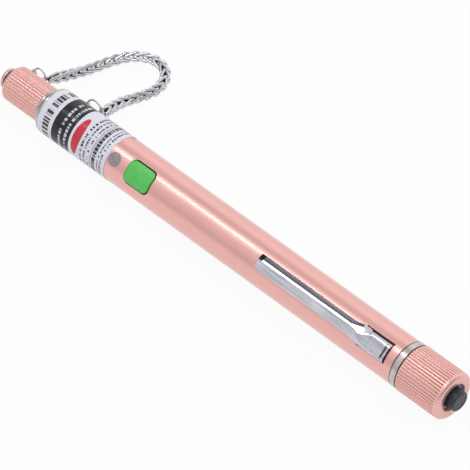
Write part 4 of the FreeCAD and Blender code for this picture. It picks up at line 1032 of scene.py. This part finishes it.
def wire_mesh(name, points, radius):
    """A closed loop of round wire as a mesh."""
    curve = bpy.data.curves.new(name, "CURVE")
    curve.dimensions = "3D"
    spline = curve.splines.new("POLY")
    spline.points.add(len(points) - 1)
    for slot, point in zip(spline.points, points):
        slot.co = (*point, 1)
    spline.use_cyclic_u = True
    curve.bevel_depth = radius * MM
    curve.bevel_resolution = 3
    drawn = bpy.data.objects.new(name, curve)
    bpy.context.scene.collection.objects.link(drawn)
    bpy.context.view_layer.update()
    mesh = bpy.data.meshes.new_from_object(drawn)
    bpy.data.objects.remove(drawn, do_unlink=True)
    return mesh


def mark_crevice_shade(mesh, open_from=0.88, depth=0.25):
    """Keeps at each point of the link how deep it lies in the braid, as the share of painted shade there: 0
    on the outside, 1 inside.
    """
    marks = mesh.attributes.new("crevice_shade", "FLOAT", "POINT")
    for vertex, mark in zip(mesh.vertices, marks.data):
        from_axis = math.hypot(vertex.co.x, vertex.co.y) / MM
        mark.value = min(max((open_from - from_axis) / depth, 0), 1)


LINK_MESH = wire_mesh("link", link_points(), LINK_WIRE)
mark_crevice_shade(LINK_MESH)
print("one link:", len(LINK_MESH.polygons), "faces")

# %% The chain's path
# The far side of each jump ring, where the chain's end ring hangs, and the way the chain leaves it.
CAP_SIDE = np.array([0.94, 6.4, 0.0])
BARREL_SIDE = np.array([21.95, 8.0, 0.0])
LEAVE, ARRIVE = (np.array(way) / np.linalg.norm(way) for way in ([0.05, 1, -0.3], [-0.4, 1, -0.35]))
FIRST_LINK_STAND, LAST_LINK_STAND, END_RING_STAND = 1.173, 1.071, 0.612
# The loop on the floor, as shares of how far it reaches, over the height at which it lies.
FLOOR_LINE = -5.24
REACH = 37.8
LOOP = [
    (0.048, 0.397, 0.058), (0.079, 0.582, 0.007), (0.127, 0.757, 0.0), (0.201, 0.899, 0.0),
    (0.296, 0.976, 0.0), (0.402, 1.0, 0.0), (0.505, 0.963, 0.0), (0.574, 0.873, 0.0),
    (0.59, 0.762, 0.0), (0.556, 0.646, 0.003), (0.524, 0.497, 0.032),
]
ROUTE = np.array(
    [CAP_SIDE + LEAVE * FIRST_LINK_STAND]
    + [(x * REACH, y * REACH, FLOOR_LINE + z * REACH) for x, y, z in LOOP]
    + [BARREL_SIDE + ARRIVE * LAST_LINK_STAND]
)


def smooth_path(points, samples=3000):
    """A natural cubic spline through the points, sampled evenly along its length."""
    knots = np.concatenate([[0], np.cumsum(np.linalg.norm(np.diff(points, axis=0), axis=1))])
    h = np.diff(knots)
    n = len(points)
    matrix, right = np.zeros((n, n)), np.zeros((n, 3))
    matrix[0, 0] = matrix[-1, -1] = 1
    for i in range(1, n - 1):
        matrix[i, i - 1:i + 2] = h[i - 1], 2 * (h[i - 1] + h[i]), h[i]
        right[i] = 6 * ((points[i + 1] - points[i]) / h[i] - (points[i] - points[i - 1]) / h[i - 1])
    bend = np.linalg.solve(matrix, right)
    t = np.linspace(0, knots[-1], samples)
    i = np.clip(np.searchsorted(knots, t, side="right") - 1, 0, n - 2)
    a, b, w = (knots[i + 1] - t)[:, None], (t - knots[i])[:, None], h[i][:, None]
    curve = (bend[i] * a ** 3 + bend[i + 1] * b ** 3) / (6 * w)
    curve += (points[i] / w - bend[i] * w / 6) * a + (points[i + 1] / w - bend[i + 1] * w / 6) * b
    lengths = np.concatenate([[0], np.cumsum(np.linalg.norm(np.diff(curve, axis=0), axis=1))])
    return curve, lengths


PATH, LENGTHS = smooth_path(ROUTE)
LINKS = 24
SPACING = (LENGTHS[-1] - LINK_LENGTH) / (LINKS - 1)
print("chain:", round(LENGTHS[-1], 1), "mm, link spacing", round(SPACING, 2), "mm")


def path_at(length):
    return Vector([float(np.interp(length, LENGTHS, PATH[:, axis])) for axis in range(3)])


# %% How the links share the cap's pull
def pull_shares(pull=30.0):
    """The part of the cap's motion that each link would follow, from 1 at the cap to 0 at the barrel."""
    starts = [path_at(i * SPACING) for i in range(LINKS)] + [path_at(LENGTHS[-1])]
    steps = [b - a for a, b in zip(starts, starts[1:])]

    def stretched(k):
        gains = []
        for step in steps:
            rest = step.y ** 2 + step.z ** 2
            gains.append(max(math.sqrt(max((k * step.length) ** 2 - rest, 0)) - step.x, 0))
        return gains

    low, high = 0.2, 1.4
    for _ in range(60):  # halving, until the links together give the whole pull
        middle = (low + high) / 2
        low, high = (middle, high) if sum(stretched(middle)) < pull else (low, middle)
    gains = stretched(high)
    total = sum(gains)
    shares, left = [], 1.0
    for gain in gains:
        shares.append(left)
        left -= gain / total
    return shares


def follow_by(piece):
    """Bakes the piece's place into its mesh.
    """
    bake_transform(piece)


SHARES = pull_shares()
print("shares:", [round(s, 2) for s in SHARES])

# %% Links along the path
def link_twist(i, level, upright):
    """The chain lies with the face of its braid up and to the front, and turns to meet its end rings."""
    face, turning_links = Vector((0.47, -0.48, 0.74)), 4
    lying = math.atan2(face.dot(upright), -face.dot(level))
    from_cap, from_barrel = min(i / turning_links, 1), min((LINKS - 1 - i) / turning_links, 1)
    return lying * from_cap * from_barrel + math.radians(90) * (1 - from_barrel)


def make_links():
    for i in range(LINKS):
        here = path_at(i * SPACING)
        ahead = path_at(i * SPACING + LINK_LENGTH)
        forward = (ahead - here).normalized()
        level = Vector((0, 0, 1)).cross(forward).normalized()
        upright = forward.cross(level)
        twist = link_twist(i, level, upright)
        across = upright * math.cos(twist) + level * math.sin(twist)
        other = forward.cross(across)
        mesh = LINK_MESH.copy()
        place = Matrix((across, other, forward)).transposed().to_4x4()
        mesh.transform(Matrix.Translation(here * MM) @ place)
        link = bpy.data.objects.new("link_%02d" % i, mesh)
        bpy.context.scene.collection.objects.link(link)
        for polygon in mesh.polygons:
            polygon.use_smooth = True
        mesh.materials.append(chain_metal)
        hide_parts("lanyard_chain")
        follow_by(link)
        if i in (0, LINKS - 1):
            make_end_ring(i, forward, other if i == 0 else across)


def make_end_ring(i, forward, side):
    centre = Vector(CAP_SIDE + LEAVE * END_RING_STAND if i == 0 else BARREL_SIDE + ARRIVE * END_RING_STAND)
    normal = forward.cross(side).normalized()
    wire_ring("end_ring_%d" % i, 1.3, centre, normal.to_track_quat("Z", "Y").to_euler(), (48, 12),
              "dust_cap" if i == 0 else "root", "lanyard_chain")


make_links()
print("links:", LINKS)
